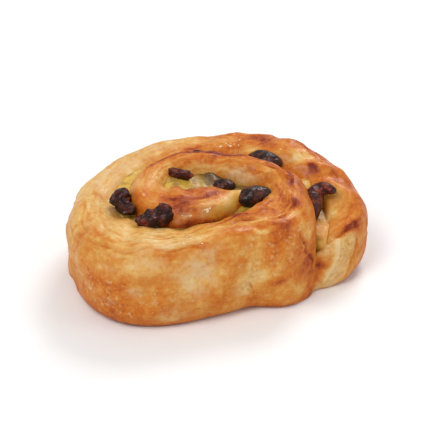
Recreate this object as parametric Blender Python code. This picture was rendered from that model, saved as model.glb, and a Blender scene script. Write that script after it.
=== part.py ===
"""Raisin swirl pastry: one coiled strip of laminated dough, the cream between its turns, and raisins.

Run with: blender --background --python part.py
Units are metres and +Z is up. The origin is the middle of the resting face, +X is along the pastry's
length and -Y is its front, the side with the tall smooth wall.

The strip is followed by its turn: a bearing in degrees about the roll's centre, counted from the cut
tail at the front right (-25) round the back and the left, and on inwards to the inner end (684). Two
places one full turn apart are neighbours across a groove.
"""

import math

import bmesh
import bpy
from mathutils import Vector

MM = 0.001

# Each row below is read at every eighth of a turn from FIRST_TURN on, in millimetres. The strip starts
# after the second value, so the first two only steer the curve through the rest.
FIRST_TURN = -90.0
EIGHTH = 45.0
ROLL_CENTRE = (-0.5, -3.2)
OUTER_REACH = (
    30.0, 32.7, 53.4, 48.0, 48.6, 50.8, 52.8, 53.8, 36.6,
    38.0, 33.4, 25.5, 25.0, 29.5, 31.2, 26.2, 16.4, 10.8,
)
DOUGH_THICKNESS = (
    -6.0, -4.5, 15.5, 18.4, 21.0, 18.0, 18.0, 26.0, 19.2,
    21.4, 15.6, 13.0, 12.5, 12.0, 11.5, 12.0, 12.0, 12.0,
)
CREST_HEIGHT = (
    3.0, 4.0, 25.6, 35.0, 32.3, 30.3, 28.6, 30.5, 31.5,
    33.0, 35.5, 36.5, 36.5, 35.5, 34.5, 34.8, 35.0, 33.0,
)
# How far the top of the strip falls towards each side before the side turns down.
OUTER_DROP = (
    10.0, 10.0, 10.0, 10.0, 10.0, 10.0, 10.0, 10.0, 10.0,
    10.0, 11.0, 7.5, 7.5, 7.0, 5.5, 3.5, 3.0, 5.0,
)
INNER_DROP = (
    2.0, 2.0, 5.0, 8.0, 8.0, 5.5, 4.5, 3.0, 2.2,
    2.4, 5.0, 7.5, 7.5, 6.0, 4.0, 3.0, 3.0, 3.0,
)

# The front wall is pinched in at the crease and swells out against the tail's end at the seam: the turn
# of each, how far it goes and its half width in degrees.
CREASE_TURN = 293.0
CREASE_DEPTH = 3.2
CREASE_SPREAD = 14.0
SEAM_TURN = 333.0
SEAM_SWELL = 1.1
SEAM_SPREAD = 9.0

TAIL_TURN = -25.0
HUMP_TURN = 540.0
LAST_TURN = 684.0
TURN_STEP = 5.4
END_ANGLES = (30.0, 55.0, 75.0)
TAIL_END = 1.6
INNER_END = 3.6

# The inner end lies straight along the middle of the roll, and its far side ends at this place in plan.
HUMP_BACK_END = (7.2, -3.9)

# A section of the strip: how far each rounded corner reaches across it, and how far down. The outer
# foot is rounded as a belly where it shows, and square where the next turn hides it.
OUTER_SHOULDER_SLOPE = 0.8
INNER_SHOULDER_SHARE = 0.52
BELLY_ROUNDING = (6.5, 11.0)
BURIED_FOOT_ROUNDING = (0.6, 1.0)
CORNER_STEPS = 5
BURIED_FROM_TURN = 296.0
BURIED_AT_TURN = 330.0
RELIEF = 0.45
RELIEF_WAVES = ((0.21, 0.13, 0.17, 0.4), (-0.16, 0.27, 0.31, 1.9), (0.43, -0.22, -0.28, 3.1))

# Pastry cream fills the grooves up to a shallow dome, lower beside the tail.
CREAM_TOP = 29.0
CREAM_EDGE_DROP = 3.0
CREAM_EDGE_REACH = 40.0
CREAM_TAIL_DIP = 9.0
CREAM_TAIL_BEARING = -25.0
CREAM_TAIL_SPREAD = 32.0
CREAM_TAIL_REACH = (22.0, 34.0)
CREAM_FLOOR = 0.5
CREAM_OVERLAP = 1.0
CREAM_START_TURN = -15.0
CREAM_RINGS = 5
CREAM_BEARING_STEP = 9.0
GAP = 0.32

# Raisins: name, bearing and reach about the roll's centre, height, length, width and depth, heading in
# plan, nose-up tilt, and how deep the wrinkles go as a share of the raisin.
RAISINS = (
    ("raisin_left", 193.4, 33.6, 31.4, 12.6, 9.8, 10.5, 250.0, 12.0, 0.24),
    ("raisin_front_left", 220.6, 27.9, 31.4, 15.0, 9.5, 9.8, 12.0, 12.0, 0.24),
    ("raisin_back", 53.3, 28.8, 31.0, 15.0, 8.8, 8.6, 146.0, -8.0, 0.07),
    ("raisin_inner_right", 344.7, 13.7, 31.4, 13.6, 8.8, 7.6, 12.0, 0.0, 0.09),
    ("raisin_right", 0.5, 35.0, 26.8, 15.5, 9.0, 9.4, 66.0, 26.0, 0.16),
    ("raisin_inner_left", 143.8, 20.4, 32.0, 14.5, 6.4, 5.6, 157.0, -5.0, 0.2),
    ("raisin_centre", 74.0, 8.8, 28.8, 9.4, 6.4, 6.2, 168.0, -10.0, 0.16),
    ("raisin_far_side", 104.0, 27.6, 31.0, 8.0, 5.0, 6.4, 10.0, 0.0, 0.18),
)
RAISIN_SUBDIVISIONS = 3
RAISIN_LUMPS = 3.0

DOUGH_COLOUR = (0.72, 0.37, 0.11, 1.0)
CREAM_COLOUR = (0.66, 0.52, 0.14, 1.0)
RAISIN_COLOUR = (0.045, 0.018, 0.014, 1.0)


def at_turn(row, turn):
    """A value of a row at any turn, on a smooth curve through its eighths (Catmull-Rom)."""
    place = min(max((turn - FIRST_TURN) / EIGHTH, 0.0), len(row) - 1.001)
    left = int(place)
    t = place - left
    p0, p1, p2, p3 = (row[min(max(left + k, 0), len(row) - 1)] for k in (-1, 0, 1, 2))
    slope = 0.5 * (p2 - p0)
    bend = p0 - 2.5 * p1 + 2.0 * p2 - 0.5 * p3
    twist = 0.5 * (p3 - p0) + 1.5 * (p1 - p2)
    return p1 + t * (slope + t * (bend + t * twist))


def smooth(low, high, value):
    """0 below low, 1 above high, and an S-curve between them."""
    t = min(max((value - low) / (high - low), 0.0), 1.0)
    return t * t * (3.0 - 2.0 * t)


def mix(a, b, share):
    """a at share 0, b at share 1, and a straight line between them."""
    return a + (b - a) * share


def plan_point(bearing, reach):
    """A place in plan from its bearing and its reach from the roll's centre."""
    turned = math.radians(bearing)
    return Vector((ROLL_CENTRE[0] + reach * math.cos(turned), ROLL_CENTRE[1] + reach * math.sin(turned)))


def outer_edge(turn):
    """The side of the strip that faces away from the roll's centre."""
    crease = CREASE_DEPTH * math.exp(-(((turn - CREASE_TURN) / CREASE_SPREAD) ** 2))
    swell = SEAM_SWELL * math.exp(-(((turn - SEAM_TURN) / SEAM_SPREAD) ** 2))
    return plan_point(turn, at_turn(OUTER_REACH, turn) - crease + swell)


def inner_edge(turn):
    """The side of the strip that faces the roll's centre or, along the inner end, its far side."""
    if turn <= HUMP_TURN:
        return plan_point(turn, at_turn(OUTER_REACH, turn) - at_turn(DOUGH_THICKNESS, turn))
    share = (turn - HUMP_TURN) / (LAST_TURN - HUMP_TURN)
    start = plan_point(HUMP_TURN, at_turn(OUTER_REACH, HUMP_TURN) - at_turn(DOUGH_THICKNESS, HUMP_TURN))
    return start.lerp(Vector(HUMP_BACK_END), share)


def rounded_corner(centre, reach_across, reach_up, first, last):
    """Points on a quarter of an ellipse, from angle first to angle last in degrees."""
    points = []
    for step in range(CORNER_STEPS + 1):
        angle = math.radians(mix(first, last, step / CORNER_STEPS))
        off_across, off_up = reach_across * math.cos(angle), reach_up * math.sin(angle)
        points.append((centre[0] + off_across, centre[1] + off_up))
    return points


def section(turn, thickness, height):
    """The strip's outline across itself, as (distance in from the outer edge, height), anticlockwise."""
    buried = smooth(BURIED_FROM_TURN, BURIED_AT_TURN, turn)
    low = min(1.0, height / 24.0)
    drop = at_turn(OUTER_DROP, turn) * low
    across = min(OUTER_SHOULDER_SLOPE * drop, 0.45 * thickness)
    inner_across = min(INNER_SHOULDER_SHARE * thickness, thickness - across - 0.2)
    inner_drop = at_turn(INNER_DROP, turn) * low
    foot_in = min(mix(BELLY_ROUNDING[0], BURIED_FOOT_ROUNDING[0], buried), 0.5 * thickness)
    foot_up = mix(BELLY_ROUNDING[1], BURIED_FOOT_ROUNDING[1], buried) * low
    heel = min(BURIED_FOOT_ROUNDING[0], 0.25 * thickness)
    inner_centre = (thickness - inner_across, height - inner_drop)
    outline = rounded_corner((foot_in, foot_up), foot_in, foot_up, 270.0, 180.0)
    outline += rounded_corner((across, height - drop), across, drop, 180.0, 90.0)
    outline += rounded_corner(inner_centre, inner_across, inner_drop, 90.0, 0.0)
    outline += [(thickness, heel), (thickness - heel, 0.0)]
    return outline


def relief(x, y, z):
    """Soft unevenness of the baked surface, in millimetres."""
    return RELIEF * sum(math.sin(a * x + b * y + c * z + phase) for a, b, c, phase in RELIEF_WAVES)


def outline_normals(outline):
    """The direction straight out of a section at each of its points."""
    count = len(outline)
    normals = []
    for k in range(count):
        ahead, behind = Vector(outline[(k + 1) % count]), Vector(outline[k - 1])
        along = ahead - behind
        normals.append(Vector((-along.y, along.x)).normalized())
    return normals


def section_ring(turn, grow, shrink=0.0, advance=0.0):
    """The section at a turn as points in space. shrink rounds off an end, advance pushes it forward."""
    outer, inner = outer_edge(turn), inner_edge(turn)
    inward = (inner - outer).normalized()
    ahead = Vector((inward.y, -inward.x))
    thickness = (inner - outer).length
    height = at_turn(CREST_HEIGHT, turn)
    buried = smooth(BURIED_FROM_TURN, BURIED_AT_TURN, turn)
    outline = []
    for across, up in section(turn, thickness, height):
        swell = relief(outer.x + across, outer.y, up) * smooth(2.0, 8.0, up) * min(1.0, height / 20.0)
        wall = 1.0 - smooth(0.0, 2.0, across)
        across -= swell * wall * (1.0 - buried)
        up += swell * (1.0 - wall) * smooth(0.5 * height, 0.8 * height, up)
        across = mix(across, 0.5 * thickness, shrink)
        outline.append((across, up * (1.0 - 0.45 * shrink)))
    ring = []
    for (across, up), normal in zip(outline, outline_normals(outline)):
        place = outer + inward * (across + grow * normal.x) + ahead * advance
        ring.append(Vector((place.x * MM, place.y * MM, (up + grow * normal.y) * MM)))
    return ring


def end_rings(turn, bulge, grow):
    """The sections that round off an end of the strip, outwards by bulge, which is negative at the tail."""
    rings = []
    for angle in END_ANGLES:
        turned = math.radians(angle)
        rings.append(section_ring(turn, grow, 1.0 - math.cos(turned), bulge * math.sin(turned)))
    return rings


def strip_rings(grow):
    """Every section of the strip, from the rounded tail to the rounded inner end."""
    steps = round((LAST_TURN - TAIL_TURN) / TURN_STEP)
    rings = end_rings(TAIL_TURN, -(TAIL_END + grow), grow)[::-1]
    rings += [section_ring(mix(TAIL_TURN, LAST_TURN, step / steps), grow) for step in range(steps + 1)]
    return rings + end_rings(LAST_TURN, INNER_END + grow, grow)


def new_object(name, mesh, collection):
    """An object for a mesh, in a collection."""
    made = bpy.data.objects.new(name, mesh)
    collection.objects.link(made)
    return made


def loft(name, rings, collection):
    """A closed solid through rings of equally many points, with a flat face on each end."""
    shape = bmesh.new()
    rows = [[shape.verts.new(point) for point in ring] for ring in rings]
    count = len(rings[0])
    for first, second in zip(rows, rows[1:]):
        for k in range(count):
            shape.faces.new((first[k], first[(k + 1) % count], second[(k + 1) % count], second[k]))
    shape.faces.new(reversed(rows[0]))
    shape.faces.new(rows[-1])
    bmesh.ops.triangulate(shape, faces=shape.faces[:])
    bmesh.ops.recalc_face_normals(shape, faces=shape.faces[:])
    mesh = bpy.data.meshes.new(name)
    shape.to_mesh(mesh)
    shape.free()
    return new_object(name, mesh, collection)


def cream_height(bearing, reach):
    """How high the cream stands in the grooves."""
    off_tail = (bearing - CREAM_TAIL_BEARING + 180.0) % 360.0 - 180.0
    dip = CREAM_TAIL_DIP * math.exp(-((off_tail / CREAM_TAIL_SPREAD) ** 2))
    dip *= smooth(CREAM_TAIL_REACH[0], CREAM_TAIL_REACH[1], reach)
    return CREAM_TOP - CREAM_EDGE_DROP * (reach / CREAM_EDGE_REACH) ** 2 - dip


def cream_blank(name, collection):
    """A low dome over all the grooves, with its rim just inside the outermost turn's inner face."""
    shape = bmesh.new()
    count = round(360.0 / CREAM_BEARING_STEP)
    bearings = [CREAM_START_TURN + 360.0 * k / count for k in range(count)]
    lower, upper = [], []
    hub_low = shape.verts.new((ROLL_CENTRE[0] * MM, ROLL_CENTRE[1] * MM, CREAM_FLOOR * MM))
    hub_top = shape.verts.new((ROLL_CENTRE[0] * MM, ROLL_CENTRE[1] * MM, cream_height(0.0, 0.0) * MM))
    for bearing in bearings:
        rim = at_turn(OUTER_REACH, bearing) - at_turn(DOUGH_THICKNESS, bearing) + CREAM_OVERLAP
        place = plan_point(bearing, rim)
        lower.append(shape.verts.new((place.x * MM, place.y * MM, CREAM_FLOOR * MM)))
        column = []
        for ring in range(1, CREAM_RINGS + 1):
            reach = rim * ring / CREAM_RINGS
            place = plan_point(bearing, reach)
            top = cream_height(bearing, reach)
            column.append(shape.verts.new((place.x * MM, place.y * MM, top * MM)))
        upper.append(column)
    for k in range(count):
        n = (k + 1) % count
        shape.faces.new((hub_low, lower[n], lower[k]))
        shape.faces.new((hub_top, upper[k][0], upper[n][0]))
        shape.faces.new((lower[k], lower[n], upper[n][-1], upper[k][-1]))
        for ring in range(CREAM_RINGS - 1):
            shape.faces.new((upper[k][ring], upper[k][ring + 1], upper[n][ring + 1], upper[n][ring]))
    bmesh.ops.triangulate(shape, faces=shape.faces[:])
    bmesh.ops.recalc_face_normals(shape, faces=shape.faces[:])
    mesh = bpy.data.meshes.new(name)
    shape.to_mesh(mesh)
    shape.free()
    return new_object(name, mesh, collection)


def wrinkle(direction, seed):
    """How far a raisin's skin has shrunk in a direction, from 0 to 1, in branching creases."""
    x, y, z = direction * RAISIN_LUMPS
    along = math.sin(1.3 * x + 2.1 * y + seed) + math.sin(2.4 * z - 1.7 * y + 2.0 * seed)
    crossing = math.sin(2.9 * y + 1.1 * z - seed) * math.sin(2.2 * x - 0.8 * z + seed)
    return min(1.0, abs(0.42 * along + 0.35 * crossing))


def raisin(row, seed, collection, cutter=False):
    """One raisin, wrinkled inwards from an ellipsoid, or the plain ellipsoid that makes room for it."""
    name, bearing, reach, height, length, width, depth, heading, tilt, wrinkling = row
    shape = bmesh.new()
    bmesh.ops.create_icosphere(shape, subdivisions=RAISIN_SUBDIVISIONS, radius=1.0)
    spare = GAP if cutter else 0.0
    half = Vector((0.5 * length + spare, 0.5 * width + spare, 0.5 * depth + spare)) * MM
    for vert in shape.verts:
        direction = vert.co.normalized()
        shrink = 0.0 if cutter else wrinkling * wrinkle(direction, seed)
        vert.co = Vector([direction[k] * half[k] * (1.0 - shrink) for k in range(3)])
    mesh = bpy.data.meshes.new(name)
    shape.to_mesh(mesh)
    shape.free()
    made = new_object(name + ("_room" if cutter else ""), mesh, collection)
    place = plan_point(bearing, reach)
    made.location = (place.x * MM, place.y * MM, height * MM)
    made.rotation_euler = (0.0, -math.radians(tilt), math.radians(heading))
    return made


def material(name, colour, roughness):
    """A plain finish."""
    made = bpy.data.materials.new(name)
    made.use_nodes = True
    shader = made.node_tree.nodes["Principled BSDF"]
    shader.inputs["Base Color"].default_value = colour
    shader.inputs["Roughness"].default_value = roughness
    shader.inputs["Metallic"].default_value = 0.0
    return made


def cut(target, cutters, label):
    """Takes every object of a collection out of the target."""
    modifier = target.modifiers.new(label, "BOOLEAN")
    modifier.operation = "DIFFERENCE"
    modifier.operand_type = "COLLECTION"
    modifier.collection = cutters
    modifier.solver = "EXACT"


def new_collection(name):
    """A new collection in the scene."""
    made = bpy.data.collections.new(name)
    bpy.context.scene.collection.children.link(made)
    return made


def hide_helpers(collection):
    """Keeps the objects that only cut out of the render, and shows them as wire."""
    for helper in collection.objects:
        helper.hide_render = True
        helper.display_type = "WIRE"


def clear_scene():
    """Removes what a new file starts with."""
    for old in list(bpy.data.objects):
        bpy.data.objects.remove(old, do_unlink=True)


def main():
    """Builds the dough, the cream and the raisins."""
    clear_scene()
    pastry = new_collection("raisin_swirl")
    raisin_rooms = new_collection("raisin_rooms")
    dough_room = new_collection("dough_room")

    dough = loft("dough", strip_rings(0.0), pastry)
    dough.data.materials.append(material("baked_dough", DOUGH_COLOUR, 0.45))
    dough.data.shade_smooth()
    cream = cream_blank("cream", pastry)
    cream.data.materials.append(material("pastry_cream", CREAM_COLOUR, 0.4))
    loft("dough_grown", strip_rings(GAP), dough_room)

    skin = material("raisin_skin", RAISIN_COLOUR, 0.35)
    for seed, row in enumerate(RAISINS):
        berry = raisin(row, float(seed), pastry)
        berry.data.materials.append(skin)
        berry.data.shade_smooth()
        raisin(row, float(seed), raisin_rooms, cutter=True)

    cut(cream, dough_room, "room_for_dough")
    cut(cream, raisin_rooms, "room_for_raisins")
    cut(dough, raisin_rooms, "room_for_raisins")
    hide_helpers(raisin_rooms)
    hide_helpers(dough_room)


main()
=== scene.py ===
"""Raisin swirl pastry: the dressed pieces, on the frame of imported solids.

The pastry is one coiled strip of laminated dough with cream between its turns and raisins in the coil.
A place on the strip is given by its turn and its girth. The turn is a bearing in degrees about the
roll's centre, counted from the cut tail round the back and the left and on inwards. The girth is the
way in millimetres along the strip's section, from the foot of its outer wall up and over its top.

Sizes are in millimetres here and go to metres when a mesh is made.
"""

import itertools
import logging
import math
from dataclasses import dataclass, field
from enum import Enum

import bpy
import numpy as np
from mathutils import Euler, Matrix, Vector

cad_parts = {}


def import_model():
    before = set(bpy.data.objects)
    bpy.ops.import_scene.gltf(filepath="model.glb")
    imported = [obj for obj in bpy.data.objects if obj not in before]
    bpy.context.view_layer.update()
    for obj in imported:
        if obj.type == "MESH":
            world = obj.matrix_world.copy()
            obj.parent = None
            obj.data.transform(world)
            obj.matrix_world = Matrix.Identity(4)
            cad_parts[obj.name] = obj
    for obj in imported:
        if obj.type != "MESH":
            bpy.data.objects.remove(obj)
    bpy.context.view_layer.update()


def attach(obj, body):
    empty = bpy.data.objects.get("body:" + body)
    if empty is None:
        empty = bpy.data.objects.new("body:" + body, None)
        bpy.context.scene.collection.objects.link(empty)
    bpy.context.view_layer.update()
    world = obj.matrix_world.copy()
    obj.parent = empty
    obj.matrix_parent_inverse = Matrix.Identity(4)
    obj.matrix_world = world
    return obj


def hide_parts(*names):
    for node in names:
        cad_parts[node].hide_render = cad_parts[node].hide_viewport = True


MM = 0.001
BODY = "root"
LOG = logging.getLogger("raisin_swirl")

Colour = tuple[float, float, float]
Socket = bpy.types.NodeSocket
Range = tuple[float, float]
Span = tuple[Range, Range]
Spot = tuple[float, float, float, float]


class Turn(float, Enum):
    """Named turns of the strip, in degrees."""

    CURVE_START = -90.0
    ROOT = -37.0
    TAIL = -25.0
    GROOVE = -18.0
    TAIL_FULL = -13.0
    FULL = 360.0
    WALL_END = 335.0
    HUMP = 540.0
    LAST = 684.0


def smooth(low: float, high: float, value: np.ndarray | float) -> np.ndarray:
    """An S-curve from 0, at and below low, to 1, at and above high."""
    share = np.clip((np.asarray(value, dtype=float) - low) / (high - low), 0.0, 1.0)
    return share * share * (3.0 - 2.0 * share)


def mix(first: np.ndarray | float, second: np.ndarray | float, share: np.ndarray | float) -> np.ndarray:
    """A blend of two values, which is the first at share 0 and the second at share 1."""
    return first + (second - first) * share


def band(rise: Range, fall: Range, value: np.ndarray | float) -> np.ndarray:
    """A curve that goes from 0 up to 1 over one stretch and back to 0 over another."""
    return smooth(*rise, value) * (1.0 - smooth(*fall, value))


@dataclass(frozen=True)
class LatticeNoise:
    """Smooth noise in space from a hashed lattice, the same on every run.

    Attributes:
        seed: Picks the lattice's values.
        table_size: How many values there are.
        octave_shift: How far each finer layer is moved aside, so that no two line up.
        hashes: Large primes that scatter the lattice's corners over the table.
    """

    seed: int
    table_size: int = 4096
    octave_shift: float = 17.3
    hashes: tuple[int, int, int] = (73856093, 19349663, 83492791)

    def at(self, points: np.ndarray, size: float, octaves: int = 1) -> np.ndarray:
        """The noise at points.

        Args:
            points: Places in space, one to a row of the last axis.
            size: The size of the largest lumps, in the points' unit.
            octaves: How many ever finer layers are added up.

        Returns:
            Values of about -1 to 1.
        """
        table = np.random.default_rng(self.seed).uniform(-1.0, 1.0, self.table_size)
        total = np.zeros(points.shape[:-1])
        strength, reached = 1.0, 0.0
        for octave in range(octaves):
            place = points * (2.0**octave / size) + self.octave_shift * octave
            total += strength * self._layer(place, table)
            reached += strength
            strength *= 0.5
        return total / reached

    def _layer(self, points: np.ndarray, table: np.ndarray) -> np.ndarray:
        """One layer of the noise.

        Args:
            points: Places on the lattice, whose step is 1.
            table: The lattice's values by hash.

        Returns:
            Values of -1 to 1.
        """
        corner = np.floor(points).astype(np.int64)
        part = points - corner
        part = part * part * (3.0 - 2.0 * part)
        total = np.zeros(points.shape[:-1])
        for steps in itertools.product((0, 1), repeat=3):
            x, y, z = ((corner[..., k] + steps[k]) * self.hashes[k] for k in range(3))
            near = [np.abs(1 - step - part[..., k]) for k, step in enumerate(steps)]
            total += near[0] * near[1] * near[2] * table[(x ^ y ^ z) % self.table_size]
        return total


@dataclass(frozen=True)
class Lumps:
    """Noise laid over a piece.

    Attributes:
        amount: How strong it is.
        size: The size of its largest lumps.
        octaves: How many ever finer layers are added up.
    """

    amount: float
    size: float
    octaves: int

    def at(self, noise: LatticeNoise, points: np.ndarray) -> np.ndarray:
        """The noise at points, as strong as the amount says."""
        return self.amount * noise.at(points, self.size, self.octaves)


@dataclass(frozen=True)
class Row:
    """A size of the strip at every eighth of a turn from Turn.CURVE_START on, in millimetres."""

    values: tuple[float, ...]
    step: float = 45.0

    def at(self, turns: np.ndarray | float) -> np.ndarray:
        """The size at any turn, on a smooth curve through the row.

        Args:
            turns: Turns in degrees.

        Returns:
            The size at each turn.
        """
        row = np.asarray(self.values)
        place = (np.asarray(turns, dtype=float) - Turn.CURVE_START) / self.step
        place = np.clip(place, 0.0, len(row) - 1.001)
        left = place.astype(int)
        t = place - left
        p0, p1, p2, p3 = (row[np.clip(left + k, 0, len(row) - 1)] for k in (-1, 0, 1, 2))
        slope = 0.5 * (p2 - p0)
        bend = p0 - 2.5 * p1 + 2.0 * p2 - 0.5 * p3
        twist = 0.5 * (p3 - p0) + 1.5 * (p1 - p2)
        return p1 + t * (slope + t * (bend + t * twist))


class Zone(Enum):
    """A stretch of the strip's section, from the foot of its outer wall up and over its top."""

    FOOT = "foot"
    WALL = "wall"
    OUTER_SHOULDER = "outer shoulder"
    CREST = "crest"
    INNER_SHOULDER = "inner shoulder"
    INNER_WALL = "inner wall"
    UNDERSIDE = "underside"

    @property
    def steps(self) -> int:
        """How many steps the mesh gives the stretch.

        Returns:
            The count.
        """
        counts = {
            Zone.FOOT: 16,
            Zone.WALL: 20,
            Zone.OUTER_SHOULDER: 22,
            Zone.CREST: 10,
            Zone.INNER_SHOULDER: 20,
            Zone.INNER_WALL: 8,
            Zone.UNDERSIDE: 6,
        }
        return counts[self]


@dataclass(frozen=True)
class StripShape:
    """The strip's main form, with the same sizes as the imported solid.

    Its reach is the way from the roll's centre to its outer side. The crest is its top, and the drops are
    how far its rounded shoulders come down from there. Widths called widest are shares of the thickness.
    """

    centre: tuple[float, float] = (-0.5, -3.2)
    reach: Row = Row(
        (30.0, 32.7, 53.4, 48.0, 48.6, 50.8, 52.8, 53.8, 36.6,
         38.0, 33.4, 25.5, 25.0, 29.5, 31.2, 26.2, 16.4, 10.8)
    )
    thickness: Row = Row(
        (-6.0, -4.5, 15.5, 18.4, 21.0, 18.0, 18.0, 26.0, 19.2,
         21.4, 15.6, 13.0, 12.5, 12.0, 11.5, 12.0, 12.0, 12.0)
    )
    crest: Row = Row(
        (3.0, 4.0, 25.6, 35.0, 32.3, 30.3, 28.6, 30.5, 31.5,
         33.0, 35.5, 36.5, 36.5, 35.5, 34.5, 34.8, 35.0, 33.0)
    )
    outer_drop: Row = Row(
        (10.0, 10.0, 10.0, 10.0, 10.0, 10.0, 10.0, 10.0, 10.0,
         10.0, 11.0, 7.5, 7.5, 7.0, 5.5, 3.5, 3.0, 5.0)
    )
    inner_drop: Row = Row(
        (2.0, 2.0, 5.0, 8.0, 8.0, 5.5, 4.5, 3.0, 2.2,
         2.4, 5.0, 7.5, 7.5, 6.0, 4.0, 3.0, 3.0, 3.0)
    )
    crease_turn: float = 293.0
    crease_depth: float = 3.2
    crease_spread: float = 14.0
    seam_turn: float = 333.0
    seam_swell: float = 1.1
    seam_spread: float = 9.0
    hump_back_end: tuple[float, float] = (7.2, -3.9)
    outer_shoulder_slope: float = 0.8
    inner_shoulder_share: float = 0.52
    belly_rounding: tuple[float, float] = (6.5, 11.0)
    buried_foot_rounding: tuple[float, float] = (0.6, 1.0)
    buried_from: float = 296.0
    buried_at: float = 330.0
    root_depth: tuple[float, float] = (0.3, 4.0)
    full_height: float = 24.0
    widest_outer_shoulder: float = 0.45
    least_crest: float = 0.2
    widest_foot: float = 0.5
    widest_heel: float = 0.25
    end_droop: float = 0.45
    least_arm: float = 8.0
    corner_rounding: float = 20.0
    relief: float = 0.3
    relief_rise: Range = (2.0, 8.0)
    full_relief_height: float = 20.0
    wall_relief_depth: float = 2.0
    top_relief_share: Range = (0.5, 0.8)
    relief_waves: tuple[tuple[float, float, float, float], ...] = (
        (0.21, 0.13, 0.17, 0.4),
        (-0.16, 0.27, 0.31, 1.9),
        (0.43, -0.22, -0.28, 3.1),
    )

    def plan_point(self, bearing: np.ndarray | float, reach: np.ndarray | float) -> np.ndarray:
        """Places in plan.

        Args:
            bearing: Bearings about the roll's centre, in degrees.
            reach: Distances from the centre.

        Returns:
            The places' x and y on the last axis.
        """
        turned = np.radians(bearing)
        return np.stack(
            (self.centre[0] + reach * np.cos(turned), self.centre[1] + reach * np.sin(turned)), axis=-1
        )

    def outer_reach(self, turns: np.ndarray) -> np.ndarray:
        """How far the strip's outer side is from the roll's centre.

        Args:
            turns: Turns in degrees.

        Returns:
            The reach at each turn.
        """
        crease = self.crease_depth * np.exp(-(((turns - self.crease_turn) / self.crease_spread) ** 2))
        swell = self.seam_swell * np.exp(-(((turns - self.seam_turn) / self.seam_spread) ** 2))
        return self.reach.at(turns) - crease + swell

    def outer_edge(self, turns: np.ndarray) -> np.ndarray:
        """The side of the strip that faces away from the roll's centre.

        The tail's end grows out of the wall beside it.

        Args:
            turns: Turns in degrees.

        Returns:
            Places in plan.
        """
        grown = smooth(Turn.ROOT, Turn.TAIL_FULL, turns)
        reach = self.outer_reach(turns)
        rooted = mix(self.outer_reach(turns + Turn.FULL) - self.root_depth[0], reach, grown)
        return self.plan_point(turns, np.where(turns < Turn.TAIL_FULL, rooted, reach))

    def inner_edge(self, turns: np.ndarray) -> np.ndarray:
        """The side of the strip towards the centre or, along the inner end, its far side.

        Args:
            turns: Turns in degrees.

        Returns:
            Places in plan.
        """
        free = self.reach.at(turns) - self.thickness.at(turns)
        sunk = self.outer_reach(turns + Turn.FULL) - self.root_depth[1]
        rooted = mix(sunk, free, smooth(Turn.TAIL, Turn.GROOVE, turns))
        coiled = self.plan_point(turns, np.where(turns < Turn.GROOVE, rooted, free))
        start = self.plan_point(Turn.HUMP, self.reach.at(Turn.HUMP) - self.thickness.at(Turn.HUMP))
        share = ((turns - Turn.HUMP) / (Turn.LAST - Turn.HUMP))[:, None]
        straight = mix(start, np.asarray(self.hump_back_end), share)
        edge = np.where(share > 0.0, straight, coiled)
        window = 2 * int(self.corner_rounding / np.median(np.diff(turns))) + 1
        padded = np.pad(edge, ((window // 2, window // 2), (0, 0)), mode="edge")
        even = np.full(window, 1.0 / window)
        rounded = np.stack([np.convolve(side, even, "valid") for side in padded.T], axis=1)
        near = np.exp(-(((turns - Turn.HUMP) / self.corner_rounding) ** 2))
        return mix(edge, rounded, near[:, None])

    def section(self, turns: np.ndarray, thickness: np.ndarray) -> tuple[np.ndarray, np.ndarray]:
        """The outline across the strip at each turn.

        Args:
            turns: Turns in degrees.
            thickness: The strip's width there.

        Returns:
            The distance in from the outer edge, and the height, one turn to a row.
        """
        height = self.crest.at(turns)
        low = np.minimum(1.0, height / self.full_height)
        buried = smooth(self.buried_from, self.buried_at, turns)
        drop = self.outer_drop.at(turns) * low
        across = np.minimum(self.outer_shoulder_slope * drop, self.widest_outer_shoulder * thickness)
        inner_across = np.minimum(
            self.inner_shoulder_share * thickness, thickness - across - self.least_crest
        )
        inner_drop = self.inner_drop.at(turns) * low
        roundings = zip(self.belly_rounding, self.buried_foot_rounding)
        foot_in, foot_up = (mix(belly, foot, buried) for belly, foot in roundings)
        foot_in, foot_up = np.minimum(foot_in, self.widest_foot * thickness), foot_up * low
        heel = np.minimum(self.buried_foot_rounding[0], self.widest_heel * thickness)
        zero = np.zeros_like(height)

        def corner(zone: Zone, mid: tuple, reach: tuple, first: float, last: float) -> tuple:
            """A rounded corner's points: a quarter of an ellipse round mid."""
            angle = np.radians(np.linspace(first, last, zone.steps, endpoint=False))
            return (
                mid[0][:, None] + reach[0][:, None] * np.cos(angle),
                mid[1][:, None] + reach[1][:, None] * np.sin(angle),
            )

        def straight(zone: Zone, start: tuple, end: tuple) -> tuple:
            """A straight stretch's points."""
            share = np.linspace(0.0, 1.0, zone.steps, endpoint=False)
            return tuple(mix(a[:, None], b[:, None], share) for a, b in zip(start, end))

        stretches = (
            corner(Zone.FOOT, (foot_in, foot_up), (foot_in, foot_up), 270.0, 180.0),
            straight(Zone.WALL, (zero, foot_up), (zero, height - drop)),
            corner(Zone.OUTER_SHOULDER, (across, height - drop), (across, drop), 180.0, 90.0),
            straight(Zone.CREST, (across, height), (thickness - inner_across, height)),
            corner(
                Zone.INNER_SHOULDER,
                (thickness - inner_across, height - inner_drop),
                (inner_across, inner_drop),
                90.0,
                0.0,
            ),
            straight(Zone.INNER_WALL, (thickness, height - inner_drop), (thickness, heel)),
            straight(Zone.UNDERSIDE, (thickness - heel, zero), (foot_in, zero)),
        )
        return tuple(np.concatenate([stretch[k] for stretch in stretches], axis=1) for k in (0, 1))

    def swell(self, points: np.ndarray) -> np.ndarray:
        """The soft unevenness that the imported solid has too.

        Args:
            points: Places in space.

        Returns:
            How far the surface stands out there.
        """
        x, y, z = points[..., 0], points[..., 1], points[..., 2]
        waves = (np.sin(a * x + b * y + c * z + phase) for a, b, c, phase in self.relief_waves)
        return self.relief * sum(waves)

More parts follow.
